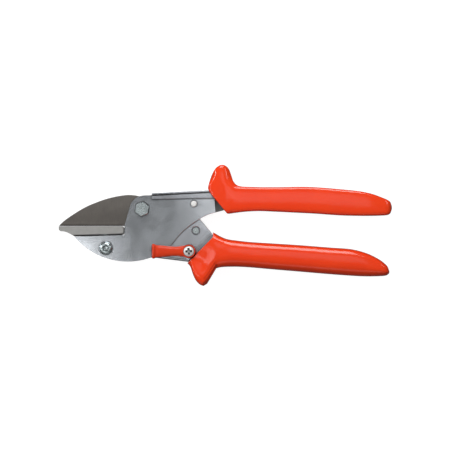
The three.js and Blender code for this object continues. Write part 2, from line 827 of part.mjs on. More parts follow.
// The upper channel's web and rim at each place along it
function upperChannelRows() {
  const slope = Math.tan(THREE.MathUtils.degToRad(plate.topSlopeDegrees));
  const webAt = (x) => plate.browRise + (x - plate.browFlatX) * slope + seatGap + channel.sheet;
  const startX = channel.startX;
  const mouthX = upperMouthX + grip.wall;
  const endX = upperStartX + grip.upperLength * channel.tailEndShare;
  const widenX = mouthX + grip.height * 0.9;
  const inGrip = (x) => [x, upperAt(x).top - grip.wall, upperAt(x).bottom + grip.wall];
  const rows = [
    [startX, webAt(startX), webAt(startX) - channel.lipHeight],
    [mouthX, webAt(mouthX), webAt(mouthX) - channel.lipHeight - channel.sheet],
    inGrip(widenX),
  ];
  for (const share of [0.2, 0.4, 0.6, 0.8, 1]) rows.push(inGrip(widenX + (endX - widenX) * share));
  return rows;
}

function makeUpperHandle() {
  const rows = upperChannelRows();
  const rings = rows.map(([x, web, rim]) => channelRing(x, web, rim, channelOuter, channel.sheet));
  const { rivetY, rivetRadius } = channel;
  const steel = loft(rings).subtract(boltHole(channelRivetX, rivetY, rivetRadius));
  const rivet = cylinder(channelRivetX, rivetY, rivetRadius, -channelOuter, channelOuter, 20);
  const socket = loft(
    [...rows, [rows.at(-1)[0] + runGap, rows.at(-1)[1], rows.at(-1)[2]]].map(([x, web, rim]) =>
      boxRing(x, web + seatGap, rim - seatGap, channelOuter + seatGap),
    ),
  );
  const roomRows = [
    [upperMouthX - overrun, rows[1][1] - channel.sheet],
    [rearTailX + runGap, rows[1][1] - channel.sheet],
    [rearTailX + runGap, plateTailY + grip.wall - runGap],
    [plate.tailReach, plateTailY - runGap],
    [upperMouthX - overrun, plateTailY - runGap],
  ];
  const throatRoom = prism(vectors(roomRows), -plateOuter - seatGap, plateOuter + seatGap);
  const plastic = gripBody(upperGripShares, upperStartX, grip.upperLength, grip.upperLineY)
    .subtract(beforeMouth(upperMouthX, upperMouth.kneeY, upperMouth.degrees))
    .subtract(socket)
    .subtract(throatRoom);
  return [
    piece("upper_channel", steel, handleSteel),
    piece("channel_rivet", rivet, fastenerZinc),
    piece("upper_grip", plastic, gripPlastic),
  ];
}

// The lower edge of the lever's web, from its front end to the grip
function lowerWebAt(x) {
  const share = (x - lever.webStartX) / (latchX - lever.webStartX);
  return -lever.webStartDrop - (lever.mouthDrop - lever.webStartDrop) * share;
}

// The lower channel's web, rim and half width at each place along it
function lowerChannelRows() {
  const tailHalf = lever.tailWidth / 2;
  const flareStart = springRivet.x + springRivet.recessRadius;
  const endX = lowerStartX + grip.lowerLength * lever.tailEndShare;
  const mouthHalf = cheekOuter + lever.sheet;
  const insideX = throatX + grip.height / 3;
  const settleX = throatX + grip.height;
  const inGrip = (x) => [x, lowerAt(x).bottom + grip.wall, lowerAt(x).top - grip.wall, tailHalf];
  const lip = lever.flangeHeight;
  const rows = [
    [lever.webStartX, lowerWebAt(lever.webStartX), lowerWebAt(lever.webStartX) + lip, cheekOuter],
    [latchX, lowerWebAt(latchX), lowerWebAt(latchX) + lip, cheekOuter],
    [flareStart, lowerWebAt(flareStart), -lever.throatDrop - lip, cheekOuter],
    [throatX, lowerWebAt(throatX) + lip / 4, -lever.throatDrop - seatGap, mouthHalf],
    [
      insideX,
      lowerAt(insideX).bottom + grip.wall,
      lowerAt(insideX).top - grip.wall / 2,
      tailHalf - lever.sheet,
    ],
    inGrip(settleX),
  ];
  for (const share of [0.2, 0.4, 0.6, 0.8, 1]) rows.push(inGrip(settleX + (endX - settleX) * share));
  return rows;
}

function cheekOutline() {
  const boss = arc(0, 0, lever.bossRadius, 60, 195, 20);
  const rows = [
    [springRivet.x + lever.shoulderAhead, -lever.shoulderDrop],
    [springRivet.x + lever.elbowAhead, -lever.elbowDrop],
    ...boss,
    [lever.heelX, -lever.heelDrop],
    [lever.webStartX, -lever.webStartDrop],
    [latchX, -lever.mouthDrop],
  ];
  const mouthTop = [throatX, -lever.throatDrop];
  return vectors([...rows, mouthTop]);
}

function makeLowerHandle() {
  const rows = lowerChannelRows();
  let steel = loft(rows.map(([x, web, rim, half]) => channelRing(x, web, rim, half, lever.sheet)));
  for (const side of [1, -1]) {
    const low = side > 0 ? cheekInner : -cheekOuter;
    steel = steel.add(prism(cheekOutline(), low, low + lever.sheet));
  }
  steel = steel.subtract(boltHole(0, 0, pivot.bushRadius));
  steel = steel.subtract(boltHole(latchX, latchY, latchScrew.radius));
  steel = steel.subtract(boltHole(springRivet.x, springRivet.y, springRivet.radius));
  const recessFloor = cheekOuter - springRivet.recessDepth;
  steel = steel.subtract(
    cylinder(springRivet.x, springRivet.y, springRivet.recessRadius, recessFloor, cheekOuter + overrun),
  );
  for (const reach of [bladeRivet.firstReach, bladeRivet.secondReach]) {
    const [x, y] = alongTang(reach);
    steel = steel.subtract(boltHole(x, y, bladeRivet.radius));
  }
  const socket = loft(
    [...rows, [rows.at(-1)[0] + runGap, ...rows.at(-1).slice(1)]].map(([x, web, rim, half]) =>
      boxRing(x, rim + seatGap, web - seatGap, half + seatGap),
    ),
  );
  const cheekRoom = prism(cheekOutline(), -cheekOuter - seatGap, cheekOuter + seatGap);
  const plastic = gripBody(lowerGripShares, lowerStartX, grip.lowerLength, grip.lowerLineY)
    .subtract(beforeMouth(lowerMouthX, lowerMouth.kneeY, lowerSlantDegrees()))
    .subtract(socket)
    .subtract(cheekRoom);
  return [piece("lower_channel", steel, handleSteel), piece("lower_grip", plastic, gripPlastic)];
}

function makeSpringPins() {
  const studEnd = plateOuter + stud.stand;
  const cap = stud.radius / 3;
  const studSolid = turned(studX, stud.y, [
    [0, -studEnd],
    [stud.radius - cap, -studEnd],
    [stud.radius, -studEnd + cap],
    [stud.radius, studEnd - cap],
    [stud.radius - cap, studEnd],
    [0, studEnd],
  ]);
  const headLow = cheekOuter - springRivet.recessDepth + seatGap;
  const headTop = headLow + springRivet.headHeight;
  const rivet = turned(springRivet.x, springRivet.y, [
    [0, -cheekOuter],
    [springRivet.radius, -cheekOuter],
    [springRivet.radius, headLow],
    [springRivet.headRadius, headLow],
    [springRivet.headRadius, headTop - springRivet.headHeight / 3],
    [springRivet.radius, headTop],
    [0, headTop],
  ]);
  return [piece("spring_stud", studSolid, fastenerZinc), piece("spring_rivet", rivet, fastenerZinc)];
}

// The spring's centre line: hook, fixed leg, turns and driving leg
function springPath() {
  const { wire, coilRadius } = spring;
  const high = plateInner - runGap - wire / 2;
  const path = [
    new THREE.Vector3(hookX, hookY, -plateInner - spring.hookDepth),
    new THREE.Vector3(hookX, hookY, -high - wire / 2),
    new THREE.Vector3(hookX + wire / 2, hookY, -high),
  ];
  const steps = springTurns * springSteps + springSteps / 4;
  for (let i = 0; i <= steps; i += 1) {
    const angle = Math.PI / 2 - (i / springSteps) * 2 * Math.PI;
    const level = high * ((2 * i) / steps - 1);
    path.push(
      new THREE.Vector3(studX + coilRadius * Math.cos(angle), stud.y + coilRadius * Math.sin(angle), level),
    );
  }
  const legEnd = lowerWebAt(driveX) + lever.sheet + spring.driveRoom;
  path.push(new THREE.Vector3(driveX, stud.y - springBendShare * coilRadius, high));
  path.push(new THREE.Vector3(driveX, stud.y - spring.bendDrop, spring.driveOffset));
  path.push(new THREE.Vector3(driveX, legEnd, spring.driveOffset));
  return path;
}

// The least distance between wire surfaces of neighbouring turns, measured on the path's points
function leastSelfGap(path) {
  let least = Infinity;
  path.forEach((point, i) => {
    for (let j = i + springSteps / 2; j < path.length; j += 1) {
      least = Math.min(least, point.distanceTo(path[j]) - spring.wire);
    }
  });
  return least;
}

// A round wire along a path: rings square to it, turned as little as possible from one to the next
function wireAlong(path) {
  const tangents = path.map((point, i) => {
    const before = path[Math.max(i - 1, 0)];
    const after = path[Math.min(i + 1, path.length - 1)];
    return after.clone().sub(before).normalize();
  });
  let side = new THREE.Vector3(0, 1, 0);
  const rings = path.map((point, i) => {
    side = side.clone().addScaledVector(tangents[i], -side.dot(tangents[i])).normalize();
    const other = new THREE.Vector3().crossVectors(tangents[i], side);
    return Array.from({ length: springSides }, (_, k) => {
      const angle = (k / springSides) * 2 * Math.PI;
      return point
        .clone()
        .addScaledVector(side, (Math.cos(angle) * spring.wire) / 2)
        .addScaledVector(other, (Math.sin(angle) * spring.wire) / 2);
    });
  });
  return rings;
}

// A closed tube from rings whose ends are closed with fans
function tube(rings) {
  const count = rings[0].length;
  const positions = rings.flat().flatMap((point) => [point.x, point.y, point.z]);
  const faces = [];
  for (let i = 0; i + 1 < rings.length; i += 1) {
    for (let j = 0; j < count; j += 1) {
      const next = (j + 1) % count;
      faces.push(i * count + j, i * count + next, (i + 1) * count + j);
      faces.push(i * count + next, (i + 1) * count + next, (i + 1) * count + j);
    }
  }
  const last = (rings.length - 1) * count;
  for (let j = 1; j + 1 < count; j += 1) {
    faces.push(0, j + 1, j);
    faces.push(last, last + j, last + j + 1);
  }
  const geometry = new THREE.BufferGeometry();
  geometry.setAttribute("position", new THREE.Float32BufferAttribute(positions, 3));
  geometry.setIndex(faces);
  return solidOf(geometry);
}

function makeSpring() {
  const path = springPath();
  console.log(`opening_spring: least gap to itself ${leastSelfGap(path).toFixed(2)} mm`);
  return piece("opening_spring", tube(wireAlong(path)), springWire);
}

function makeLatch() {
  const rings = placesOf(latchShares, 0.06).map((share) => {
    const [, height, half] = rowAt(latchShares, share);
    const x = latchX - latch.length * (1 - share);
    const reach = height * eyeRadius;
    return roundRing(
      x,
      latchY + reach,
      latchY - reach,
      (half * latch.thickness) / 2,
      3,
      latchRingPoints,
      latchMiddle + ((half - 1) * latch.thickness) / 2,
    );
  });
  const bossLow = cheekOuter + latchScrew.washerHeight + seatGap * 2;
  let solid = loft(rings).add(cylinder(latchX, latchY, eyeRadius, bossLow, latchTop));
  solid = solid.subtract(boltHole(latchX, latchY, latchScrew.radius));
  const seat = latchTop - latch.seatDepth;
  solid = solid.subtract(
    cylinder(latchX, latchY, latchScrew.headRadius + seatGap, seat, latchTop + overrun),
  );
  return piece("latch", solid, latchPlastic);
}

function makeLatchScrew() {
  const [x, y] = [latchX, latchY];
  const { radius, headRadius, headHeight, slotWidth, slotLength, slotDepth } = latchScrew;
  const seat = latchTop - latch.seatDepth + seatGap;
  const nutTop = -cheekOuter - seatGap;
  const end = nutTop - latchScrew.nutHeight - latchScrew.endStand;
  const profile = [[0, end], [radius, end], [radius, seat], [headRadius, seat]];
  for (let i = 0; i <= 5; i += 1) {
    const angle = ((i / 5) * Math.PI) / 2.4;
    profile.push([headRadius * Math.cos(angle), seat + headHeight / 3 + (headHeight * 0.67) * Math.sin(angle)]);
  }
  const top = profile.at(-1)[1];
  profile.push([0, top]);
  let solid = turned(x, y, profile);
  for (const turn of [0, 90]) {
    const slot = new THREE.BoxGeometry(slotLength, slotWidth, slotDepth * 2);
    slot.rotateZ(THREE.MathUtils.degToRad(turn + 4));
    slot.translate(x, y, top);
    solid = solid.subtract(solidOf(slot));
  }
  const nut = hexagon(x, y, latchScrew.nutFlats, nutTop - latchScrew.nutHeight, nutTop, 0, 0, 0).subtract(
    boltHole(x, y, radius),
  );
  const washerLow = cheekOuter + seatGap;
  const washerTop = washerLow + latchScrew.washerHeight;
  const washer = cylinder(x, y, latchScrew.washerRadius, washerLow, washerTop).subtract(boltHole(x, y, radius));
  return [
    piece("latch_screw", solid, fastenerZinc),
    piece("latch_nut", nut, fastenerZinc),
    piece("latch_washer", washer, fastenerZinc),
  ];
}

const anvilLever = new THREE.Group();
anvilLever.add(
  ...makePlates(),
  ...makeUpperHandle(),
  makeAnvil(),
  ...makeAnvilScrew(),
  ...makePivot(),
  makeSpring(),
);
const [studPiece, springRivetPiece] = makeSpringPins();
anvilLever.add(studPiece);

const bladeLever = new THREE.Group();
bladeLever.add(makeBlade(), ...makeBladeRivets(), ...makeLowerHandle(), springRivetPiece, ...makeLatchScrew());

const latchGroup = new THREE.Group();
latchGroup.add(makeLatch());

const tool = new THREE.Group();
tool.add(anvilLever, bladeLever, latchGroup);
tool.position.z = gripHalf;

const root = new THREE.Group();
root.add(tool);

export default root;
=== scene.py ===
"""The looks of an anvil pruner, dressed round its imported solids.

Lengths are metres, in the solids' own frame: +X from the pivot to the handles, +Y from the lower
handle to the upper one, +Z towards the side with the latch. The tool lies on its back, on z = 0.
"""

import logging
import math
from collections.abc import Callable, Iterable, Sequence
from dataclasses import dataclass
from enum import Enum

import bmesh
import bpy
import numpy as np
from mathutils import Matrix, Vector
from mathutils.geometry import intersect_line_line_2d, tessellate_polygon


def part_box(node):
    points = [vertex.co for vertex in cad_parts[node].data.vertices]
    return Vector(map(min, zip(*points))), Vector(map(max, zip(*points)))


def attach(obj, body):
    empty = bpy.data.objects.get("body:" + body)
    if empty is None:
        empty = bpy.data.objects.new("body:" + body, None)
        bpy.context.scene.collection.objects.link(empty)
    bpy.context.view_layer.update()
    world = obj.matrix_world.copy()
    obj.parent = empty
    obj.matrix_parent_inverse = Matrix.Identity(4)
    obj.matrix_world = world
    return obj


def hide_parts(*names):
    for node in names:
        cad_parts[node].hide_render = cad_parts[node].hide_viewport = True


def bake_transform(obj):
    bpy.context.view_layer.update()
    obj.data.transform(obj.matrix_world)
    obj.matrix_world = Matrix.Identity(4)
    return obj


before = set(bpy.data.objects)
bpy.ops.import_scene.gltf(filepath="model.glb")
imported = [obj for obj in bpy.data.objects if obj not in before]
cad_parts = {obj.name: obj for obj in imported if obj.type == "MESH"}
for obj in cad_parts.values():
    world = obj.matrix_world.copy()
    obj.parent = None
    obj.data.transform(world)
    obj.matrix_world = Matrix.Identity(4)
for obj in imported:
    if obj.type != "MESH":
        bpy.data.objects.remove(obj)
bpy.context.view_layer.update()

log = logging.getLogger("pruner")

Outline = list[Vector]
Row = tuple[float, ...]
Colour = tuple[float, float, float]
PolarRow = Callable[[float], tuple[float, float]]
Socket = bpy.types.NodeSocket

MERGE_REACH = 1e-7  # corners closer than this are one corner
SEAT_GAP = 0.0001  # between faces that are clamped, riveted or glued
OVERRUN = 0.001  # how far a cutting tool runs past what it cuts


class Body(Enum):
    """The bodies that the pieces ride on."""

    ANVIL_LEVER = "anvil_lever"
    BLADE_LEVER = "blade_lever"
    THUMB_LATCH = "thumb_latch"


class Slot(Enum):
    """The record's material slots."""

    PLATE_STEEL = "plate_steel"
    HANDLE_STEEL = "handle_steel"
    COATED_BLADE = "coated_blade"
    ANVIL_METAL = "anvil_metal"
    FASTENER_ZINC = "fastener_zinc"
    SPRING_WIRE = "spring_wire"
    GRIP_PLASTIC = "grip_plastic"
    LATCH_PLASTIC = "latch_plastic"


class Joining(Enum):
    """How one closed mesh is put together with another."""

    ADD = "UNION"
    TAKE_AWAY = "DIFFERENCE"


# Places in the frame


def levels(node: str) -> tuple[float, float]:
    """The lowest and the highest level of a node's box."""
    low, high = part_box(node)
    return low.z, high.z


def middle_of(node: str) -> Vector:
    """The middle of a node's box, seen from above."""
    low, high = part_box(node)
    return ((low + high) / 2).to_2d()


MIDDLE = sum(levels("blade")) / 2  # the tool's middle plane


# Outlines in the tool's plane


def arc(middle: Vector, radius: float, start: float, end: float, steps: int) -> Outline:
    """Points along an arc.

    Args:
        middle: The arc's centre.
        radius: Its radius.
        start: Its first angle, in degrees.
        end: Its last angle, in degrees.
        steps: How many stretches it has.

    Returns:
        The arc's points, one more than its stretches.
    """
    angles = np.radians(np.linspace(start, end, steps + 1))
    return [middle + radius * Vector((math.cos(a), math.sin(a))) for a in angles]


def smooth_curve(points: Sequence[Vector], steps: int) -> Outline:
    """A smooth curve through points.

    Args:
        points: The points that it runs through.
        steps: How many stretches it has between two of them.

    Returns:
        The curve's points.
    """
    curve = []
    last = len(points) - 1
    for i in range(last):
        before, first = points[max(i - 1, 0)], points[i]
        second, after = points[i + 1], points[min(i + 2, last)]
        leave, arrive = (second - before) / 2, (after - first) / 2
        for t in np.linspace(0, 1, steps, endpoint=False):
            curve.append(
                first * (2 * t**3 - 3 * t**2 + 1)
                + leave * (t**3 - 2 * t**2 + t)
                + second * (3 * t**2 - 2 * t**3)
                + arrive * (t**3 - t**2)
            )
    return [*curve, points[-1]]


def from_shares(shares: Iterable[Row], width: float, height: float) -> Outline:
    """Points from shares of a width and a height."""
    return [Vector((u * width, v * height)) for u, v in shares]


def moved_out(outline: Outline, distance: float) -> Outline:
    """An outline grown by a distance, or drawn in by a negative one.

    Args:
        outline: Its points, counter-clockwise round metal and clockwise round a hole.
        distance: How far each side moves.

    Returns:
        As many points, each moved along the mitre of its two sides.
    """
    count = len(outline)
    sides = [(outline[(i + 1) % count] - outline[i]).normalized() for i in range(count)]
    outward = [Vector((side.y, -side.x)) for side in sides]
    grown = []
    for i, point in enumerate(outline):
        first, second = outward[i - 1], outward[i]
        mitre = (first + second) / max(1 + first.dot(second), 0.5)
        grown.append(point + mitre * distance)
    return grown


def round_edge(low: float, high: float, radius: float, steps: int = 3) -> list[Row]:
    """Rows for the rim of a sheet with rounded edges, from its upper face to its lower one.

    Args:
        low: The sheet's lower level.
        high: Its upper level.
        radius: The radius of its edges.
        steps: How many stretches each rounding has.

    Returns:
        Rows of how far out each one is, and its level.
    """
    rows = []
    for angle in np.linspace(0, math.pi / 2, steps + 1):
        rows.append((radius * (math.sin(angle) - 1), high - radius * (1 - math.cos(angle))))
    return rows + [(out, low + high - level) for out, level in reversed(rows)]


@dataclass(frozen=True)
class Rim:
    """The rim of an outline: its points, and how its edge runs from the upper face to the lower one."""

    outline: Outline
    rows: Sequence[Row]

    @classmethod
    def bore(cls, middle: Vector, radius: float, low: float, high: float, edge: float = 0.0001) -> "Rim":
        """A round hole with slightly broken edges."""
        return cls(arc(middle, radius, 360, 0, 48)[:-1], round_edge(low, high, edge, 2))


# Meshes


class Solid:
    """A closed mesh in the making."""

    def __init__(self) -> None:
        """Starts with nothing."""
        self.mesh = bmesh.new()

    def ring(self, points: Iterable[Sequence[float]]) -> list[bmesh.types.BMVert]:
        """Adds a ring of corners and returns them."""
        return [self.mesh.verts.new(point) for point in points]

    def bridge(self, first: list, second: list) -> None:
        """Joins two rings of as many corners with faces."""
        for i in range(len(first)):
            j = (i + 1) % len(first)
            self.mesh.faces.new((first[i], first[j], second[j], second[i]))

    def cap(self, ring: list) -> None:
        """Closes a ring with one face."""
        self.mesh.faces.new(ring)

    def fan(self, ring: list, tip: Sequence[float]) -> None:
        """Closes a ring with faces that meet at a point."""
        top = self.mesh.verts.new(tip)
        for i, corner in enumerate(ring):
            self.mesh.faces.new((corner, ring[(i + 1) % len(ring)], top))

    def fill(self, loops: Sequence[list]) -> None:
        """Fills the flat space inside the first loop and outside the others."""
        corners = [corner for loop in loops for corner in loop]
        for triangle in tessellate_polygon([[corner.co for corner in loop] for loop in loops]):
            self.mesh.faces.new([corners[i] for i in triangle])

    def split(self, place: Vector, across: Vector) -> None:
        """Splits every face along a plane, so that its corners can be moved."""
        everything = [*self.mesh.verts, *self.mesh.edges, *self.mesh.faces]
        bmesh.ops.bisect_plane(self.mesh, geom=everything, dist=MERGE_REACH, plane_co=place, plane_no=across)

    def made(self, name: str) -> bpy.types.Object:
        """Turns the mesh into an object of the scene.

        Args:
            name: The object's name.

        Returns:
            The object, with its faces pointing out.
        """
        bmesh.ops.remove_doubles(self.mesh, verts=self.mesh.verts, dist=MERGE_REACH)
        bmesh.ops.recalc_face_normals(self.mesh, faces=self.mesh.faces)
        data = bpy.data.meshes.new(name)
        self.mesh.to_mesh(data)
        self.mesh.free()
        piece = bpy.data.objects.new(name, data)
        bpy.context.scene.collection.objects.link(piece)
        return piece


def slab(rims: Sequence[Rim]) -> Solid:
    """A flat sheet with holes.

    Args:
        rims: Its outer rim, then the rims of its holes.

    Returns:
        The sheet.
    """
    solid = Solid()
    upper, lower = [], []
    for rim in rims:
        rings = []
        for out, level in rim.rows:
            rings.append(solid.ring((*point, level) for point in moved_out(rim.outline, out)))
        for first, second in zip(rings, rings[1:]):
            solid.bridge(first, second)
        upper.append(rings[0])
        lower.append(rings[-1])
    solid.fill(upper)
    solid.fill(lower)
    return solid


def loft(rings: Sequence[Iterable[Sequence[float]]]) -> Solid:
    """A body through rings of as many points, closed by a face at each end."""
    solid = Solid()
    made = [solid.ring(points) for points in rings]
    for first, second in zip(made, made[1:]):
        solid.bridge(first, second)
    solid.cap(made[0])
    solid.cap(made[-1])
    return solid


def plain(radius: float, level: float) -> PolarRow:
    """A round row of a turned body."""
    return lambda angle: (radius, level)


def hexagon_reach(flats: float, angle: float) -> float:
    """How far a hexagon with a corner at angle 0 reaches at an angle, its corners slightly rounded."""
    aside = (angle % (math.pi / 3)) - math.pi / 6
    corner = flats / math.sqrt(3)
    return min(flats / 2 / math.cos(aside), corner * 0.992)


def polar(middle: Vector, rows: Sequence[PolarRow], sides: int = 72, turn: float = 0) -> Solid:
    """A body about an axis along Z.

    Args:
        middle: Where the axis is.
        rows: For an angle, each gives a radius and a level. A row of no radius closes an end.
        sides: How many stretches a turn has.
        turn: Where the rows' angles start, in degrees.

    Returns:
        The body. If neither its first nor its last row closes it, its last row meets its first.
    """
    solid = Solid()
    start = math.radians(turn)
    angles = [2 * math.pi * i / sides for i in range(sides)]
    rings = []
    tips = []
    for row in rows:
        points = []
        for angle in angles:
            radius, level = row(angle)
            points.append((
                middle.x + radius * math.cos(angle + start),
                middle.y + radius * math.sin(angle + start),
                level,
            ))
        if row(0)[0] > 0:
            rings.append(solid.ring(points))
        else:
            tips.append((middle.x, middle.y, row(0)[1]))
    for first, second in zip(rings, rings[1:]):
        solid.bridge(first, second)
    if tips:
        solid.fan(rings[0], tips[0])
        solid.fan(rings[-1], tips[-1])
    else:
        solid.bridge(rings[-1], rings[0])
    return solid


def dome(radius: float, low: float, high: float, share: float = 0.5, steps: int = 10) -> list[PolarRow]:
    """Rows of a domed head, from its top to its rim.

    Args:
        radius: The head's radius.
        low: The level of the dome's rim.
        high: The level of its top.
        share: How much of a quarter turn the dome takes, so that less makes a flatter one.
        steps: How many rows it has.

    Returns:
        The rows.
    """
    full = share * math.pi / 2
    rows = []
    for angle in np.linspace(0, full, steps):
        height = (math.cos(angle) - math.cos(full)) / (1 - math.cos(full))
        rows.append(plain(radius * math.sin(angle) / math.sin(full), low + (high - low) * height))
    return rows


def evaluated(piece: bpy.types.Object) -> None:
    """Applies a piece's modifiers to its mesh."""
    view = bpy.context.evaluated_depsgraph_get()
    data = bpy.data.meshes.new_from_object(piece.evaluated_get(view))
    piece.modifiers.clear()
    piece.data = data


def combine(kept: bpy.types.Object, tool: bpy.types.Object, how: Joining) -> None:
    """Joins a tool to a piece, or cuts it away, and removes the tool.

    Args:
        kept: The piece that stays.
        tool: The other one.
        how: Whether it is added or taken away.
    """
    modifier = kept.modifiers.new("combine", "BOOLEAN")
    modifier.operation = how.value
    modifier.solver = "EXACT"
    modifier.object = tool
    evaluated(kept)
    bpy.data.objects.remove(tool)


def soften(piece: bpy.types.Object, sharp: float = 32) -> None:
    """Shades a piece smoothly across all edges but its sharp ones.

    Args:
        piece: The piece.
        sharp: The angle from which an edge is sharp, in degrees.
    """
    mesh = bmesh.new()
    mesh.from_mesh(piece.data)
    for face in mesh.faces:
        face.smooth = True
    for edge in mesh.edges:
        edge.smooth = edge.is_manifold and edge.calc_face_angle(0) < math.radians(sharp)
    mesh.to_mesh(piece.data)
    mesh.free()
    normals = piece.modifiers.new("even_normals", "WEIGHTED_NORMAL")
    normals.keep_sharp = True


class Table:
    """Values along a length, with a smooth curve through its rows. A row's first value is its place."""

    def __init__(self, rows: Sequence[Row]) -> None:
        """Works out the curve's slope at each row."""
        self.rows = np.array(rows, float)
        last = len(self.rows) - 1
        before = self.rows[np.maximum(np.arange(last + 1) - 1, 0)]
        after = self.rows[np.minimum(np.arange(last + 1) + 1, last)]
        self.slopes = (after - before) / (after[:, :1] - before[:, :1])

    def at(self, places: np.ndarray) -> np.ndarray:
        """The values at some places.

        Args:
            places: Where they are wanted.

        Returns:
            One row of values for each column of the table but the first.
        """
        column = self.rows[:, 0]
        i = np.clip(np.searchsorted(column, places, side="right") - 1, 0, len(column) - 2)
        span = column[i + 1] - column[i]
        t = ((np.clip(places, column[0], column[-1]) - column[i]) / span)[..., None]
        reach = span[..., None]
        values = (
            self.rows[i] * (2 * t**3 - 3 * t**2 + 1)
            + self.slopes[i] * reach * (t**3 - 2 * t**2 + t)
            + self.rows[i + 1] * (3 * t**2 - 2 * t**3)
            + self.slopes[i + 1] * reach * (t**3 - t**2)
        )
        return np.moveaxis(values[..., 1:], -1, 0)


# Finishes


GAP_SHADE_COLOUR = (0.022, 0.02, 0.018)  # painted shade for corners, gaps and recesses


class Shader:
    """A finish's nodes in the making. Places are read in metres on the piece itself."""

    def __init__(self, name: str) -> None:
        """Starts a material with its surface and nothing on it."""
        self.material = bpy.data.materials.new(name)
        self.material.use_nodes = True
        self.tree = self.material.node_tree
        self.tree.nodes.clear()
        self.surface = self.tree.nodes.new("ShaderNodeBsdfPrincipled")
        output = self.tree.nodes.new("ShaderNodeOutputMaterial")
        self.link(self.surface.outputs["BSDF"], output.inputs["Surface"])
        self.places = self.tree.nodes.new("ShaderNodeTexCoord").outputs["Object"]

    def link(self, source: Socket, target: Socket) -> None:
        """Joins two sockets."""
        self.tree.links.new(source, target)

    def give(self, **values: float | Colour | Socket) -> None:
        """Sets the surface's inputs, each by its name with its spaces as underscores."""
        for name, value in values.items():
            target = self.surface.inputs[name.replace("_", " ")]
            if isinstance(value, bpy.types.NodeSocket):
                self.link(value, target)
            elif isinstance(value, tuple) and len(value) == 3 and target.type == "RGBA":
                target.default_value = (*value, 1)
            else:
                target.default_value = value

    def noise(self, size: float, detail: float = 2, stretch: Sequence[float] = (1, 1, 1)) -> Socket:
        """Clouds of a size in metres, drawn out along an axis where stretch is below 1."""
        mapping = self.tree.nodes.new("ShaderNodeMapping")
        mapping.inputs["Scale"].default_value = [share / size for share in stretch]
        self.link(self.places, mapping.inputs["Vector"])
        clouds = self.tree.nodes.new("ShaderNodeTexNoise")
        clouds.inputs["Scale"].default_value = 1
        clouds.inputs["Detail"].default_value = detail
        self.link(mapping.outputs["Vector"], clouds.inputs["Vector"])
        return clouds.outputs["Fac"]

    def spread(self, value: Socket, low: float, high: float, start: float = 0.3, end: float = 0.7) -> Socket:
        """Maps a value from start..end to low..high, and holds it there."""
        node = self.tree.nodes.new("ShaderNodeMapRange")
        node.interpolation_type = "SMOOTHSTEP"
        for name, number in zip(("From Min", "From Max", "To Min", "To Max"), (start, end, low, high)):
            node.inputs[name].default_value = number
        self.link(value, node.inputs["Value"])
        return node.outputs["Result"]

    def sum(self, *values: Socket) -> Socket:
        """Adds values."""
        total = values[0]
        for value in values[1:]:
            node = self.tree.nodes.new("ShaderNodeMath")
            self.link(total, node.inputs[0])
            self.link(value, node.inputs[1])
            total = node.outputs["Value"]
        return total

    def product(self, first: Socket, second: Socket | float) -> Socket:
        """Multiplies two values."""
        node = self.tree.nodes.new("ShaderNodeMath")
        node.operation = "MULTIPLY"
        self.link(first, node.inputs[0])
        if isinstance(second, bpy.types.NodeSocket):
            self.link(second, node.inputs[1])
        else:
            node.inputs[1].default_value = second
        return node.outputs["Value"]

    def between(self, factor: Socket, first: Colour | Socket, second: Colour | Socket) -> Socket:
        """A colour between two, the first where the factor is 0."""
        node = self.tree.nodes.new("ShaderNodeMix")
        node.data_type = "RGBA"
        self.link(factor, node.inputs["Factor"])
        for socket, colour in zip([s for s in node.inputs if s.type == "RGBA"], (first, second)):
            if isinstance(colour, bpy.types.NodeSocket):
                self.link(colour, socket)
            else:
                socket.default_value = (*colour, 1)
        return next(s for s in node.outputs if s.type == "RGBA")

    def edges(self, radius: float) -> Socket:
        """1 along the piece's edges and 0 on its faces."""
        rounded = self.tree.nodes.new("ShaderNodeBevel")
        rounded.samples = 4
        rounded.inputs["Radius"].default_value = radius
        plain_normal = self.tree.nodes.new("ShaderNodeNewGeometry").outputs["Normal"]
        node = self.tree.nodes.new("ShaderNodeVectorMath")
        node.operation = "DOT_PRODUCT"
        self.link(rounded.outputs["Normal"], node.inputs[0])
        self.link(plain_normal, node.inputs[1])
        return self.spread(node.outputs["Value"], 1, 0, 0.86, 0.995)

    def gap_shade(self, reach: float) -> Socket:
        """1 deep in corners and gaps narrower than a reach in metres, and 0 in the open: where shade is painted into
        a colour.
        """
        node = self.tree.nodes.new("ShaderNodeAmbientOcclusion")
        node.samples = 8
        node.inputs["Distance"].default_value = reach
        return self.spread(node.outputs["AO"], 1, 0, 0.5, 0.98)

    def inner_side(self) -> Socket:
        """1 on faces that look towards the tool's middle plane, and 0 on the others."""
        parts = []
        for source in (self.places, self.tree.nodes.new("ShaderNodeNewGeometry").outputs["Normal"]):
            parts.append(self.tree.nodes.new("ShaderNodeSeparateXYZ"))
            self.link(source, parts[-1].inputs["Vector"])
        level = self.tree.nodes.new("ShaderNodeMath")
        level.operation = "SUBTRACT"
        level.inputs[1].default_value = MIDDLE
        self.link(parts[0].outputs["Z"], level.inputs[0])
        return self.spread(self.product(level.outputs["Value"], parts[1].outputs["Z"]), 1, 0, -0.002, -0.0005)

    def relief(self, height: Socket, depth: float, under: Socket | None = None) -> Socket:
        """A surface direction from a height of 0 to 1, over one that lies under it.

        Args:
            height: The height.
            depth: What a height of 1 stands for, in metres.
            under: Another relief that this one is added to.

        Returns:
            The direction.
        """
        node = self.tree.nodes.new("ShaderNodeBump")
        node.inputs["Distance"].default_value = depth
        self.link(height, node.inputs["Height"])
        if under is not None:
            self.link(under, node.inputs["Normal"])
        return node.outputs["Normal"]


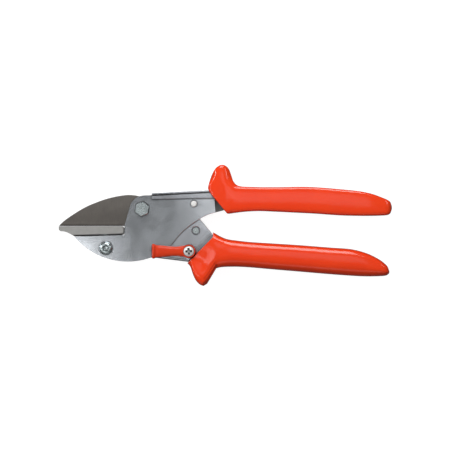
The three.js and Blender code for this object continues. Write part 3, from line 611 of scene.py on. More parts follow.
@dataclass(frozen=True)
class PlatedSteel:
    """Nickel plate over pressed steel: satin, with faint clouds, rolling lines and fine scratches, and painted shade
    on its inward faces and in its corners and gaps.
    """

    name: str
    colour: Colour
    shade: Colour
    roughness: float = 0.36
    cloud: float = 0.014
    line: float = 0.00022
    scratch: float = 0.0007

    def build(self) -> bpy.types.Material:
        """Makes the material."""
        shader = Shader(self.name)
        clouds = shader.noise(self.cloud, 4)
        specks = shader.noise(self.cloud / 30, 3)
        lines = shader.noise(self.line, 2, (0.04, 1, 1))
        scratches = shader.spread(shader.noise(self.scratch, 1, (0.03, 1, 1)), 0, 1, 0.62, 0.8)
        edge = shader.edges(0.0002)
        tone = shader.sum(shader.spread(clouds, 0, 0.7), shader.spread(specks, 0, 0.3))
        colour = shader.between(tone, self.colour, self.shade)
        bright = tuple(min(1.0, channel * 1.15) for channel in self.colour)
        colour = shader.between(shader.product(edge, 0.3), colour, bright)
        # Painted shade: faces that look inwards, towards the tool's middle plane, take a dark grey, and are rougher
        # too.
        inner = shader.inner_side()
        colour = shader.between(inner, colour, (0.3, 0.31, 0.3))
        # Painted shade: corners and gaps darken towards the shade colour.
        colour = shader.between(shader.product(shader.gap_shade(0.0012), 0.95), colour, GAP_SHADE_COLOUR)
        rough = shader.sum(
            shader.spread(clouds, self.roughness - 0.04, self.roughness + 0.04),
            shader.product(specks, 0.04),
            shader.product(scratches, 0.06),
            shader.product(inner, 0.2),
        )
        relief = shader.relief(lines, 0.000002)
        relief = shader.relief(specks, 0.000003, relief)
        shader.give(Base_Color=colour, Roughness=rough, Normal=relief, Metallic=1.0)
        return shader.material


@dataclass(frozen=True)
class BladeCoat:
    """A low-friction coat on ground steel: dark and satin, worn to the metal along its edges."""

    name: str
    colour: Colour
    shade: Colour
    worn: Colour
    roughness: float = 0.42

    def build(self) -> bpy.types.Material:
        """Makes the material."""
        shader = Shader(self.name)
        clouds = shader.noise(0.009, 5)
        specks = shader.noise(0.0004, 3)
        grinding = shader.noise(0.0003, 3, (1, 0.05, 1))
        edge = shader.edges(0.0003)
        ragged = shader.product(edge, shader.spread(specks, 0.3, 1))
        tone = shader.sum(shader.spread(clouds, 0, 0.6), shader.spread(grinding, 0, 0.4))
        colour = shader.between(tone, self.colour, self.shade)
        colour = shader.between(shader.product(ragged, 0.4), colour, self.worn)
        # Painted shade: corners and gaps, such as along the anvil and the plates, darken towards the shade colour.
        colour = shader.between(shader.product(shader.gap_shade(0.002), 0.95), colour, GAP_SHADE_COLOUR)
        rough = shader.sum(
            shader.spread(clouds, self.roughness - 0.06, self.roughness + 0.06),
            shader.product(specks, 0.08),
        )
        relief = shader.relief(grinding, 0.000005)
        relief = shader.relief(specks, 0.000008, relief)
        shader.give(Base_Color=colour, Roughness=rough, Normal=relief, Metallic=0.55)
        return shader.material


@dataclass(frozen=True)
class DrawnMetal:
    """Metal that keeps the lines of its drawing, turning or milling, with small stains, and painted shade in its
    corners and recesses.
    """

    name: str
    colour: Colour
    shade: Colour
    roughness: float
    line: float
    stretch: Colour
    depth: float = 0.000006
    metal: float = 1.0
    gap_shade_reach: float = 0.0011

    def build(self) -> bpy.types.Material:
        """Makes the material."""
        shader = Shader(self.name)
        clouds = shader.noise(0.004, 4)
        lines = shader.noise(self.line, 3, self.stretch)
        edge = shader.edges(0.0003)
        tone = shader.sum(shader.spread(clouds, 0, 0.6), shader.spread(lines, 0, 0.4))
        colour = shader.between(tone, self.colour, self.shade)
        bright = tuple(min(1.0, channel * 1.2) for channel in self.colour)
        colour = shader.between(shader.product(edge, 0.5), colour, bright)
        # Painted shade: corners, recesses and sockets darken towards the shade colour.
        colour = shader.between(shader.product(shader.gap_shade(self.gap_shade_reach), 0.9), colour, GAP_SHADE_COLOUR)
        rough = shader.sum(
            shader.spread(clouds, self.roughness - 0.05, self.roughness + 0.06),
            shader.product(lines, 0.05),
        )
        shader.give(
            Base_Color=colour,
            Roughness=rough,
            Normal=shader.relief(lines, self.depth),
            Metallic=self.metal,
        )
        return shader.material


@dataclass(frozen=True)
class DippedVinyl:
    """Coloured vinyl or moulded plastic: a glossy skin with slow waves and small dimples."""

    name: str
    colour: Colour
    shade: Colour
    roughness: float
    wave: float = 0.011
    wave_depth: float = 0.00012
    coat: float = 1.0
    coat_roughness: float = 0.13

    def build(self) -> bpy.types.Material:
        """Makes the material."""
        shader = Shader(self.name)
        clouds = shader.noise(0.02, 3)
        specks = shader.noise(0.0005, 3)
        waves = shader.noise(self.wave, 2, (0.5, 1, 1))
        dimples = shader.noise(0.0011, 2)
        rubbed = shader.spread(shader.noise(0.006, 4, (0.3, 1, 1)), 0, 1, 0.5, 0.75)
        tone = shader.sum(shader.spread(clouds, 0, 0.75), shader.spread(specks, 0, 0.25))
        colour = shader.between(tone, self.colour, self.shade)
        # Painted shade: corners and gaps, such as at the grip's mouth, darken towards the shade colour.
        colour = shader.between(shader.product(shader.gap_shade(0.0012), 0.75), colour, GAP_SHADE_COLOUR)
        rough = shader.sum(
            shader.spread(clouds, self.roughness - 0.04, self.roughness + 0.06),
            shader.product(rubbed, 0.1),
        )
        relief = shader.relief(waves, self.wave_depth)
        relief = shader.relief(dimples, 0.000006, relief)
        shader.give(
            Base_Color=colour,
            Roughness=rough,
            Normal=relief,
            Coat_Normal=relief,
            Coat_Weight=self.coat,
            Coat_Roughness=self.coat_roughness,
            Specular_IOR_Level=0.05,
            Subsurface_Weight=0.08,
            Subsurface_Radius=(0.6, 0.15, 0.05),
            Subsurface_Scale=0.002,
        )
        return shader.material


FINISHES = {
    Slot.PLATE_STEEL: PlatedSteel("nickel_plate", (0.645, 0.675, 0.71), (0.585, 0.615, 0.65), 0.15),
    Slot.HANDLE_STEEL: PlatedSteel("nickel_handle", (0.7, 0.725, 0.77), (0.64, 0.665, 0.71), 0.18),
    Slot.COATED_BLADE: BladeCoat("blade_coat", (0.16, 0.145, 0.13), (0.12, 0.11, 0.1), (0.42, 0.4, 0.38)),
    Slot.ANVIL_METAL: DrawnMetal(
        "milled_anvil", (0.48, 0.475, 0.46), (0.4, 0.395, 0.38), 0.4, 0.0003, (0.05, 1, 1), 0.000004
    ),
    Slot.FASTENER_ZINC: DrawnMetal(
        "bright_zinc", (0.64, 0.71, 0.72), (0.56, 0.63, 0.64), 0.24, 0.0006, (1, 1, 1), 0.0000015
    ),
    Slot.SPRING_WIRE: DrawnMetal(
        "drawn_wire", (0.42, 0.42, 0.43), (0.3, 0.3, 0.31), 0.3, 0.0002, (1, 1, 0.2), 0.000003
    ),
    Slot.GRIP_PLASTIC: DippedVinyl("dipped_vinyl", (0.95, 0.056, 0.007), (0.9, 0.047, 0.005), 0.3),
    Slot.LATCH_PLASTIC: DippedVinyl(
        "moulded_latch", (0.72, 0.055, 0.014), (0.66, 0.045, 0.012), 0.36, 0.005, 0.00004, 0.3, 0.15
    ),
}


PALE_ZINC = DrawnMetal(
    "pale_zinc", (0.9, 0.89, 0.87), (0.82, 0.81, 0.8), 0.5, 0.0006, (1, 1, 1), 0.0000015, 0.45, 0.0018
)


class Bench:
    """Where pieces get their finish and their body."""

    def __init__(self) -> None:
        """Mixes every finish once."""
        self.materials = {slot: finish.build() for slot, finish in FINISHES.items()}
        self.pale = PALE_ZINC.build()

    def seat(
        self,
        piece: bpy.types.Object,
        slot: Slot,
        body: Body,
        *nodes: str,
        sharp: float = 32,
        pale: bool = False,
    ) -> None:
        """Finishes a piece and puts it on its body.

        Args:
            piece: The piece.
            slot: The slot that it takes its finish from.
            body: The body that it rides on.
            nodes: The nodes that it stands for.
            sharp: The angle from which its edges are sharp, in degrees.
            pale: Whether it has the paler, duller zinc.
        """
        soften(piece, sharp)
        piece.data.materials.clear()
        piece.data.materials.append(self.pale if pale else self.materials[slot])
        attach(piece, body.value)
        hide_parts(*nodes)
        log.info("%s: %d faces, stands for %s", piece.name, len(piece.data.polygons), ", ".join(nodes))

    def keep(self, node: str, slot: Slot, edge: float = 0.00012) -> None:
        """Gives a solid of the frame its finish and broken edges, and leaves its shape.

        Args:
            node: The solid's node.
            slot: The slot that it takes its finish from.
            edge: The radius of its edges.
        """
        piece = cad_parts[node]
        piece.data.materials.clear()
        piece.data.materials.append(self.materials[slot])
        weld = piece.modifiers.new("weld", "WELD")
        weld.merge_threshold = 1e-6
        bevel = piece.modifiers.new("broken_edges", "BEVEL")
        bevel.width = edge
        bevel.segments = 2
        bevel.angle_limit = math.radians(40)
        log.info("%s: kept", node)


# The two plates and the anvil between them


@dataclass
class Plates:
    """Two pressed steel cheeks, one in front of the lever and one behind it."""

    brow_reach: float = 0.0111
    brow_rise: float = 0.0087
    brow_flat_x: float = 0.006
    top_slope: float = 3
    tail_reach: float = 0.0462
    rear_tail_reach: float = 0.0592
    tail_step: float = 0.0034
    heel_reach: float = 0.0117
    heel_drop: float = 0.0289
    heel_radius: float = 0.0015
    belly_drop: float = 0.0331
    belly_x: float = -0.009
    nose_x: float = -0.0426
    nose_drop: float = 0.0173
    seat_drop: float = 0.0164
    edge: float = 0.00006
    brow_shares: tuple[Row, ...] = (
        (1, -1.21),
        (0.9, -0.724),
        (0.81, -0.322),
        (0.73, 0.034),
        (0.657, 0.31),
        (0.558, 0.53),
        (0.41, 0.74),
        (0.2, 0.9),
        (-0.07, 0.985),
    )
    throat_shares: tuple[Row, ...] = (
        (1, 0.073),
        (0.893, 0.128),
        (0.785, 0.215),
        (0.675, 0.329),
        (0.58, 0.446),
        (0.497, 0.578),
        (0.437, 0.699),
        (0.389, 0.785),
    )

    def top_at(self, x: float) -> float:
        """The height of the top edge."""
        return self.brow_rise + (x - self.brow_flat_x) * math.tan(math.radians(self.top_slope))

    def belly(self) -> Outline:
        """The arc through the nose and the lowest point, from the heel to the nose."""
        height = self.belly_drop - self.nose_drop
        radius = ((self.nose_x - self.belly_x) ** 2 + height**2) / (2 * height)
        middle = Vector((self.belly_x, radius - self.belly_drop))
        ends = (self.heel_reach - self.heel_radius, self.nose_x)
        start, end = [math.degrees(-math.acos((x - self.belly_x) / radius)) for x in ends]
        return arc(middle, radius, start, end, 72)

    def outline(self, tail_reach: float) -> Outline:
        """The outline of a plate whose tail reaches so far."""
        brow = smooth_curve(from_shares(self.brow_shares, -self.brow_reach, self.brow_rise), 6)
        throat = smooth_curve(from_shares(self.throat_shares, self.tail_reach, -self.heel_drop), 6)
        corner = 0.001
        tail = [Vector((self.tail_reach - corner, self.top_at(self.tail_reach - corner)))]
        if tail_reach > self.tail_reach:
            tail.append(Vector((tail_reach, self.top_at(tail_reach) - self.tail_step)))
            tail.append(Vector((tail_reach, throat[0].y + self.tail_step)))
        clockwise = [
            *brow,
            Vector((self.brow_flat_x, self.brow_rise)),
            *tail,
            *throat,
            Vector((self.heel_reach + self.heel_radius, 2 * self.heel_radius - self.heel_drop)),
            *self.belly(),
            Vector((-self.brow_reach - corner / 2, -self.seat_drop)),
            Vector((-self.brow_reach, corner / 2 - self.seat_drop)),
        ]
        return clockwise[::-1]

    def plate(self, name: str, node: str, tail_reach: float, bores: Sequence[tuple[str, float]]) -> bpy.types.Object:
        """Makes one plate.

        Args:
            name: The piece's name.
            node: The node that it stands for.
            tail_reach: How far its tail reaches from the pivot.
            bores: The nodes that pass through it, and the radius of their holes.

        Returns:
            The plate.
        """
        low, high = levels(node)
        rims = [Rim(self.outline(tail_reach), round_edge(low, high, self.edge, 1))]
        for passing, radius in bores:
            rims.append(Rim.bore(middle_of(passing), radius, low, high))
        return slab(rims).made(name)

    def build(self, bench: Bench) -> None:
        """Makes and finishes both plates."""
        bores = [("pivot_bush", 0.0026), ("anvil_screw", 0.0021), ("spring_stud", 0.00195)]
        front = self.plate("plate_front", "front_plate", self.tail_reach, bores)
        bench.seat(front, Slot.PLATE_STEEL, Body.ANVIL_LEVER, "front_plate")
        rear = self.plate("plate_rear", "rear_plate", self.rear_tail_reach, [*bores, ("channel_rivet", 0.0016)])
        bench.seat(rear, Slot.PLATE_STEEL, Body.ANVIL_LEVER, "rear_plate")


@dataclass
class Anvil:
    """A soft metal bar that the blade closes on, with a tang that is clamped between the plates."""

    plates: Plates
    chamfer: float = 0.0002
    top_drop: float = 0.00035
    top_slope: float = 0.0009
    undercut: float = 0.001
    corner: float = 0.0018
    tip_height: float = 0.0032
    tip_length: float = 0.0099
    tang_rise: float = 0.0023
    tang_setback: float = 0.0014
    tang_margin: float = 0.0039
    tang_edge: float = 0.0002
    tip_shares: tuple[Row, ...] = ((0, 0.62), (0.12, 0.97), (0.36, 1.02), (0.6, 1.28), (0.82, 1.62))
    tang_shares: tuple[Row, ...] = ((0.66, 1), (0.32, 0.83), (0.06, 0.3))

    def __post_init__(self) -> None:
        """Takes the bar's reach, top and width from the frame."""
        low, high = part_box("anvil")
        self.tip_x, self.inner_x, self.top = low.x, high.x, high.y
        self.half = high.z - MIDDLE
        self.plate_half = levels("front_plate")[1] - MIDDLE

    def seat_at(self, x: float) -> float:
        """The height of the plates' edge that carries the bar."""
        plates = self.plates
        share = (x - plates.nose_x) / (-plates.brow_reach - plates.nose_x)
        return -plates.nose_drop + (plates.nose_drop - plates.seat_drop) * share + SEAT_GAP

    def bottom_at(self, x: float) -> float:
        """The height of the bar's lower face."""
        if x >= self.plates.nose_x:
            return self.seat_at(x)
        points = [
            Vector((self.tip_x + u * self.tip_length, self.top - v * self.tip_height)) for u, v in self.tip_shares
        ]
        points.append(Vector((self.plates.nose_x, self.seat_at(self.plates.nose_x))))
        curve = smooth_curve(points, 8)
        return float(np.interp(x, [point.x for point in curve], [point.y for point in curve]))

    def section(self, x: float, drawn_in: float) -> list[Vector]:
        """A ring across the bar.

        Args:
            x: Its place along the bar.
            drawn_in: How far its sides are drawn in, where the bar's end is rounded.

        Returns:
            The ring's points.
        """
        round_drop = 0.0
        past = x - (self.inner_x - self.corner)
        if past > 0:
            round_drop = self.corner - math.sqrt(max(self.corner**2 - past**2, 0))
        top = self.top - round_drop - drawn_in
        bottom = self.bottom_at(x) + round_drop * 0.7 + drawn_in
        half = self.half - drawn_in
        slope_top = max(self.seat_at(x) + self.undercut + round_drop * 0.7, bottom + self.chamfer / 2)
        foot = self.plate_half - self.undercut / 2
        share = min(max((bottom - self.seat_at(x)) / self.undercut, 0), 1)
        foot_half = min(foot + (self.half - foot) * share, half - self.chamfer / 4)
        side = [
            (half - self.top_slope, top),
            (half, top - self.top_drop),
            (half, slope_top + self.chamfer / 4),
            (half - self.chamfer / 4, slope_top),
            (foot_half, bottom),
        ]
        front = [Vector((x, y, MIDDLE + z)) for z, y in side]
        back = [Vector((x, y, MIDDLE - z)) for z, y in reversed(side)]
        return front + back

    def bar(self) -> bpy.types.Object:
        """The bar."""
        edge = self.chamfer / 2
        places = [(self.tip_x, edge), (self.tip_x + edge * 0.3, edge * 0.3), (self.tip_x + edge, 0)]
        for x in np.linspace(self.tip_x + 2 * edge, self.inner_x - self.corner, 60):
            places.append((float(x), 0))
        for share in (0.25, 0.5, 0.7, 0.85, 0.95):
            places.append((self.inner_x - self.corner * (1 - share), 0))
        places.append((self.inner_x, edge))
        return loft([self.section(x, drawn_in) for x, drawn_in in places]).made("anvil_bar")

    def tang(self) -> bpy.types.Object:
        """The tang, round the screw that holds it."""
        start = self.plates.nose_x + self.tip_length / 4
        end = self.inner_x - self.tang_setback
        screw = middle_of("anvil_screw")
        top = self.seat_at(self.inner_x) + self.tang_rise
        bottom = screw.y - self.tang_margin
        foot = [Vector((start + u * (end - start), top - v * (top - bottom))) for u, v in self.tang_shares]
        clockwise = [Vector((start, top)), Vector((end, top)), Vector((end, bottom)), *foot]
        half = levels("pivot_bush")[1] - MIDDLE
        low, high = MIDDLE - half, MIDDLE + half
        rims = [Rim(clockwise[::-1], round_edge(low, high, self.tang_edge)), Rim.bore(screw, 0.0021, low, high)]
        return slab(rims).made("anvil_tang")

    def build(self, bench: Bench) -> None:
        """Makes the anvil from its bar and its tang."""
        bar = self.bar()
        combine(bar, self.tang(), Joining.ADD)
        bench.seat(bar, Slot.ANVIL_METAL, Body.ANVIL_LEVER, "anvil")


# Bolts, screws, nuts and pins


@dataclass
class Fastener:
    """What bolts and screws share: a shank along Z, from the end that stands out of the back."""

    node: str
    radius: float
    chamfer: float = 0.0005
    pitch: float = 0.0008
    thread_length: float = 0.0034

    def shank(self, end: float, under_head: float) -> list[PolarRow]:
        """Rows of the shank, from under the head to the end, with its thread near the end."""
        rows = [plain(self.radius, under_head)]
        start = end + self.thread_length
        turns = int((self.thread_length - self.chamfer) / self.pitch)
        depth = self.pitch * 0.35
        for i in range(turns):
            level = start - i * self.pitch
            rows.append(plain(self.radius, level))
            rows.append(plain(self.radius - depth, level - self.pitch / 2))
        rows.append(plain(self.radius, start - turns * self.pitch))
        rows.append(plain(self.radius - self.chamfer, end))
        rows.append(plain(0, end))
        return rows


def nut(node: str, name: str, flats: float, bore: float, turn: float, chamfer: float) -> bpy.types.Object:
    """A hexagon nut whose lower corners are turned down.

    Args:
        node: The node that gives its place.
        name: The piece's name.
        flats: Its width across the flats.
        bore: The radius of its bore.
        turn: Where its first corner is, in degrees.
        chamfer: How far its corners are turned down.

    Returns:
        The nut.
    """
    low, high = levels(node)
    inner = flats / 2 * 0.96
    slope = chamfer / (flats / math.sqrt(3) - inner)
    rows = [
        plain(bore, high),
        lambda angle: (hexagon_reach(flats, angle), high),
        lambda angle: (hexagon_reach(flats, angle), low + (hexagon_reach(flats, angle) - inner) * slope),
        plain(inner, low),
        plain(bore + chamfer, low),
        plain(bore, low + chamfer),
    ]
    return polar(middle_of(node), rows, 72, turn).made(name)


@dataclass
class PivotSet:
    """The hexagon bolt that the levers turn on, with its nut."""

    flats: float = 0.008
    head_turn: float = 21
    bevel: float = 0.00016

    def build(self, bench: Bench) -> None:
        """Makes the bolt and its nut, and keeps the bush."""
        end, top = levels("pivot_bolt")
        under_head = levels("front_plate")[1] + SEAT_GAP
        flats, bevel = self.flats, self.bevel
        chamfered = flats / 2 * 1.12

        def reach(angle: float) -> float:
            """How far the flat top reaches, inside its edge bevel and the chamfered corners."""
            return min(hexagon_reach(flats, angle) - bevel, chamfered)

        rows = [
            plain(0, top),
            lambda angle: (reach(angle), top),
            lambda angle: (hexagon_reach(flats, angle), top - hexagon_reach(flats, angle) + reach(angle)),
            lambda angle: (hexagon_reach(flats, angle), under_head),
            *Fastener("pivot_bolt", 0.0025).shank(end, under_head),
        ]
        bolt = polar(middle_of("pivot_bush"), rows, 96, self.head_turn).made("pivot_bolt_m5")
        bench.seat(bolt, Slot.FASTENER_ZINC, Body.ANVIL_LEVER, "pivot_bolt")
        made = nut("pivot_nut", "pivot_nut_m5", 0.008, 0.0026, 0, 0.0005)
        bench.seat(made, Slot.FASTENER_ZINC, Body.ANVIL_LEVER, "pivot_nut")
        bench.keep("pivot_bush", Slot.FASTENER_ZINC)


@dataclass
class AnvilScrew:
    """The domed socket screw that holds the anvil, with its nut."""

    head_radius: float = 0.0041
    rim: float = 0.0005
    socket_flats: float = 0.0034
    socket_depth: float = 0.0017
    socket_turn: float = 10
    shoulder: tuple[Row, ...] = ((0.68, 0), (0.76, 0.06), (0.86, 0.2), (0.94, 0.4), (0.985, 0.6), (1, 0.8))

    def build(self, bench: Bench) -> None:
        """Makes the screw and its nut."""
        end, top = levels("anvil_screw")
        seat = levels("front_plate")[1] + SEAT_GAP
        flats = self.socket_flats
        mouth = flats * 0.62
        floor = top - self.socket_depth
        rows = [
            plain(0, floor - self.rim * 0.6),
            lambda angle: (hexagon_reach(flats, angle) * 0.98, floor),
            lambda angle: (hexagon_reach(flats, angle), top - self.rim * 0.7),
            plain(mouth, top - self.rim * 0.1),
            *[plain(self.head_radius * out, top - (top - seat) * down) for out, down in self.shoulder],
            plain(self.head_radius - self.rim / 4, seat),
            *Fastener("anvil_screw", 0.002, 0.0004, 0.0007).shank(end, seat),
        ]
        screw = polar(middle_of("anvil_screw"), rows, 96, self.socket_turn).made("anvil_screw_m4")
        bench.seat(screw, Slot.FASTENER_ZINC, Body.ANVIL_LEVER, "anvil_screw")
        made = nut("anvil_nut", "anvil_nut_m4", 0.007, 0.0021, 12, 0.0005)
        bench.seat(made, Slot.FASTENER_ZINC, Body.ANVIL_LEVER, "anvil_nut")


@dataclass
class Spring:
    """The torsion spring that opens the tool, and the stud that its turns sit on."""

    wire: float = 0.0011
    coil_radius: float = 0.0035
    hook_leg: float = 0.006
    hook_depth: float = 0.0014
    bend_drop: float = 0.0085
    drive_offset: float = 0.0006
    bend_share: float = 0.7
    turns: int = 3
    turn_steps: int = 40
    sides: int = 12
    run_gap: float = 0.0003

    def path(self) -> list[Vector]:
        """The wire's centre line, from its hook to the end of its driving leg."""
        stud = middle_of("spring_stud")
        low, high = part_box("opening_spring")
        plate_inner = levels("front_plate")[0] - MIDDLE
        reach = plate_inner - self.run_gap - self.wire / 2
        hook_x, hook_y = stud.x - self.hook_leg, stud.y + self.coil_radius
        drive_x = stud.x + self.coil_radius
        path = [
            Vector((hook_x, hook_y, -plate_inner - self.hook_depth)),
            Vector((hook_x, hook_y, -reach - self.wire * 0.8)),
            Vector((hook_x + self.wire * 0.15, hook_y, -reach - self.wire * 0.3)),
            Vector((hook_x + self.wire * 0.6, hook_y, -reach)),
            Vector((hook_x + self.wire * 2, hook_y, -reach)),
        ]
        steps = self.turns * self.turn_steps + self.turn_steps // 4
        for i in range(steps + 1):
            angle = math.pi / 2 - 2 * math.pi * i / self.turn_steps
            level = reach * (2 * i / steps - 1)
            path.append(Vector((
                stud.x + self.coil_radius * math.cos(angle),
                stud.y + self.coil_radius * math.sin(angle),
                level,
            )))
        bend = stud.y - self.bend_share * self.coil_radius
        for share in np.linspace(0, 1, 12):
            ease = share * share * (3 - 2 * share)
            y = bend + (stud.y - self.bend_drop - bend) * share
            path.append(Vector((drive_x, y, reach + (self.drive_offset - reach) * ease)))
        for y in np.linspace(stud.y - self.bend_drop, low.y, 24)[1:]:
            path.append(Vector((drive_x, float(y), self.drive_offset)))
        return [point + Vector((0, 0, MIDDLE)) for point in path]

    def build(self, bench: Bench) -> None:
        """Makes the spring between the levers, and its stud."""
        path = self.path()
        side = Vector((0, 1, 0))
        rings = []
        for i, point in enumerate(path):
            ahead = (path[min(i + 1, len(path) - 1)] - path[max(i - 1, 0)]).normalized()
            side = (side - ahead * side.dot(ahead)).normalized()
            other = ahead.cross(side)
            angles = [2 * math.pi * k / self.sides for k in range(self.sides)]
            rings.append([point + (side * math.cos(a) + other * math.sin(a)) * self.wire / 2 for a in angles])
        piece = loft(rings).made("torsion_spring")
        soften(piece, 50)
        piece.data.materials.append(bench.materials[Slot.SPRING_WIRE])
        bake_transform(piece)
        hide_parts("opening_spring")
        log.info("%s: %d points along the wire", piece.name, len(path))
        self.stud(bench)

    def stud(self, bench: Bench) -> None:
        """Makes the stud, domed at both ends."""
        low, high = levels("spring_stud")
        radius, rounding = 0.00185, 0.0004
        top = [plain(0, high)]
        for angle in np.radians([0, 20, 40, 60, 80, 90]):
            top.append(plain(radius - rounding * (1 - math.sin(angle)), high - rounding * (1 - math.cos(angle))))
        bottom = [plain(row(0)[0], low + high - row(0)[1]) for row in reversed(top)]
        piece = polar(middle_of("spring_stud"), [*top, *bottom], 48).made("spring_stud_pin")
        bench.seat(piece, Slot.FASTENER_ZINC, Body.ANVIL_LEVER, "spring_stud", pale=True)


# The blade


@dataclass
class Blade:
    """A coated leaf with a straight edge, and the tang that is riveted between the lever's cheeks."""

    reach: float = 0.0525
    edge_drop: float = 0.0107
    back_rise: float = 0.0089
    edge_thickness: float = 0.0004
    edge_height: float = 0.0006
    edge_sharp: float = 0.25
    grind_height: float = 0.013
    grind_end: float = 0.0095
    grind_fade: float = 0.001
    hollow: float = 0.8
    boss_radius: float = 0.0069
    tang_reach: float = 0.023
    tang_turn: float = -47
    rounding: float = 0.00025
    back_shares: tuple[Row, ...] = (
        (0, 0.026),
        (0.07, 0.193),
        (0.19, 0.412),
        (0.31, 0.601),
        (0.43, 0.743),
        (0.55, 0.859),
        (0.67, 0.942),
        (0.79, 0.994),
        (0.862, 1),
        (0.946, 0.971),
        (1, 0.898),
    )
    heel_shares: tuple[Row, ...] = ((1, 0.3), (0.93, 0))

    def place(self, share: Row) -> Vector:
        """A point of the leaf from its shares."""
        height = self.back_rise + self.edge_drop
        return Vector(((share[0] - 1) * self.reach, share[1] * height - self.edge_drop))

    def outline(self) -> Outline:
        """The outline of the leaf, the boss and the tang in one."""
        back = smooth_curve([self.place(share) for share in self.back_shares], 10)
        turn = self.tang_turn
        along = Vector((math.cos(math.radians(turn)), math.sin(math.radians(turn))))
        end = along * self.tang_reach
        boss = arc(Vector((0, 0)), self.boss_radius, 90, turn + 90, 16)[1:]
        round_end = arc(end, self.boss_radius, turn + 90, turn - 90, 24)[1:]
        heel_top, heel = [self.place(share) for share in self.heel_shares]
        back_of_tang = round_end[-1] - end
        meeting = intersect_line_line_2d(back_of_tang, round_end[-1], heel_top, heel)
        clockwise = [*back, *boss, *round_end, meeting, heel, self.place((0, 0))]
        return clockwise[::-1]

    def build(self, bench: Bench) -> None:
        """Makes the blade with its ground flanks."""
        low, high = levels("blade")
        half = (high - low) / 2
        rims = [
            Rim(self.outline(), round_edge(low, high, self.rounding)),
            Rim.bore(middle_of("pivot_bush"), 0.0041, low, high),
            Rim.bore(middle_of("blade_rivet_1"), 0.0016, low, high),
            Rim.bore(middle_of("blade_rivet_2"), 0.0016, low, high),
        ]
        solid = slab(rims)
        for height in (self.edge_height / 2, self.edge_height, *np.linspace(0, self.grind_height, 9)[1:]):
            solid.split(Vector((0, height - self.edge_drop, 0)), Vector((0, 1, 0)))
        for x in (-self.grind_end, self.grind_fade - self.grind_end):
            solid.split(Vector((x, 0, 0)), Vector((1, 0, 0)))
        for corner in solid.mesh.verts:
            up = min(max((corner.co.y + self.edge_drop) / self.grind_height, 0), 1)
            swell = (1 - self.hollow) * up + self.hollow * math.sin(up * math.pi / 2)
            thickness = self.edge_thickness / 2 + (half - self.edge_thickness / 2) * swell
            keen = min(max((corner.co.y + self.edge_drop) / self.edge_height, 0), 1)
            thickness *= self.edge_sharp + (1 - self.edge_sharp) * keen
            fade = min(max((self.grind_fade - self.grind_end - corner.co.x) / self.grind_fade, 0), 1)
            corner.co.z = MIDDLE + (corner.co.z - MIDDLE) * (1 - fade * (1 - thickness / half))
        piece = solid.made("blade_leaf")
        bench.seat(piece, Slot.COATED_BLADE, Body.BLADE_LEVER, "blade", sharp=25)
        for node in ("blade_rivet_1", "blade_rivet_2"):
            bench.keep(node, Slot.FASTENER_ZINC)


# Handles: pressed channels and the grips on them


@dataclass(frozen=True)
class Pressing:
    """The section of a pressed channel: its steel, its bends, and a line pressed into each flange."""

    half: float
    sheet: float
    bend: float
    free_edge: float = 0.0004
    line_drop: float = 0.0
    line_width: float = 0.0
    line_depth: float = 0.0

    def ring(self, x: float, web: float, rim: float) -> list[Vector]:
        """A ring across the channel.

        Args:
            x: Its place along the handle.
            web: The height of the web's outer face.
            rim: The height of the flanges' free edges.

        Returns:
            The ring's points.
        """
        half, sheet, bend, edge = self.half, self.sheet, self.bend, self.free_edge
        way = math.copysign(1, rim - web)
        side = []
        for angle in np.radians(np.linspace(90, 0, 4)):
            side.append((half - edge * (1 - math.cos(angle)), rim - way * edge * (1 - math.sin(angle))))
        if self.line_depth:
            top = web + way * self.line_drop
            low = top + way * self.line_width
            side += [(half, low), (half - self.line_depth, low), (half - self.line_depth, top), (half, top)]
        for angle in np.radians(np.linspace(0, 90, 7)):
            side.append((half - bend * (1 - math.cos(angle)), web + way * bend * (1 - math.sin(angle))))
        inner_bend = max(bend - sheet, sheet * 0.15)
        inside = []
        for angle in np.radians(np.linspace(90, 0, 5)):
            inside.append((
                half - sheet - inner_bend * (1 - math.cos(angle)),
                web + way * (sheet + inner_bend * (1 - math.sin(angle))),
            ))
        inside += [(half - sheet, rim - way * edge / 2), (half - sheet + edge / 2, rim)]
        ring = side + [(-z, y) for z, y in reversed(side)]
        ring += [(-z, y) for z, y in reversed(inside)] + inside
        return [Vector((x, y, MIDDLE + z)) for z, y in ring]


def beside(start: Vector, end: Vector, x: np.ndarray, y: np.ndarray) -> tuple[np.ndarray, np.ndarray]:
    """Finds the place on a stretch that lies nearest to some points.

    Args:
        start: The stretch's first end.
        end: Its other end.
        x: The points' places along the tool.
        y: Their heights.

    Returns:
        The nearest places, as shares of the stretch, and how far away they are.
    """
    along = end - start
    share = ((x - start.x) * along.x + (y - start.y) * along.y) / along.length_squared
    share = np.clip(share, 0, 1)
    return share, np.hypot(x - start.x - share * along.x, y - start.y - share * along.y)


@dataclass(frozen=True)
class Hollow:
    """A soft hollow that is pressed into a grip's faces along a line."""

    start: Vector
    end: Vector
    width: float
    depth: float
    end_depth: float

    def at(self, x: np.ndarray, y: np.ndarray) -> np.ndarray:
        """How deep the hollow is at some points, as a share of the grip's half thickness."""
        share, away = beside(self.start, self.end, x, y)
        return (self.depth + (self.end_depth - self.depth) * share) * np.exp(-((away / self.width) ** 2))


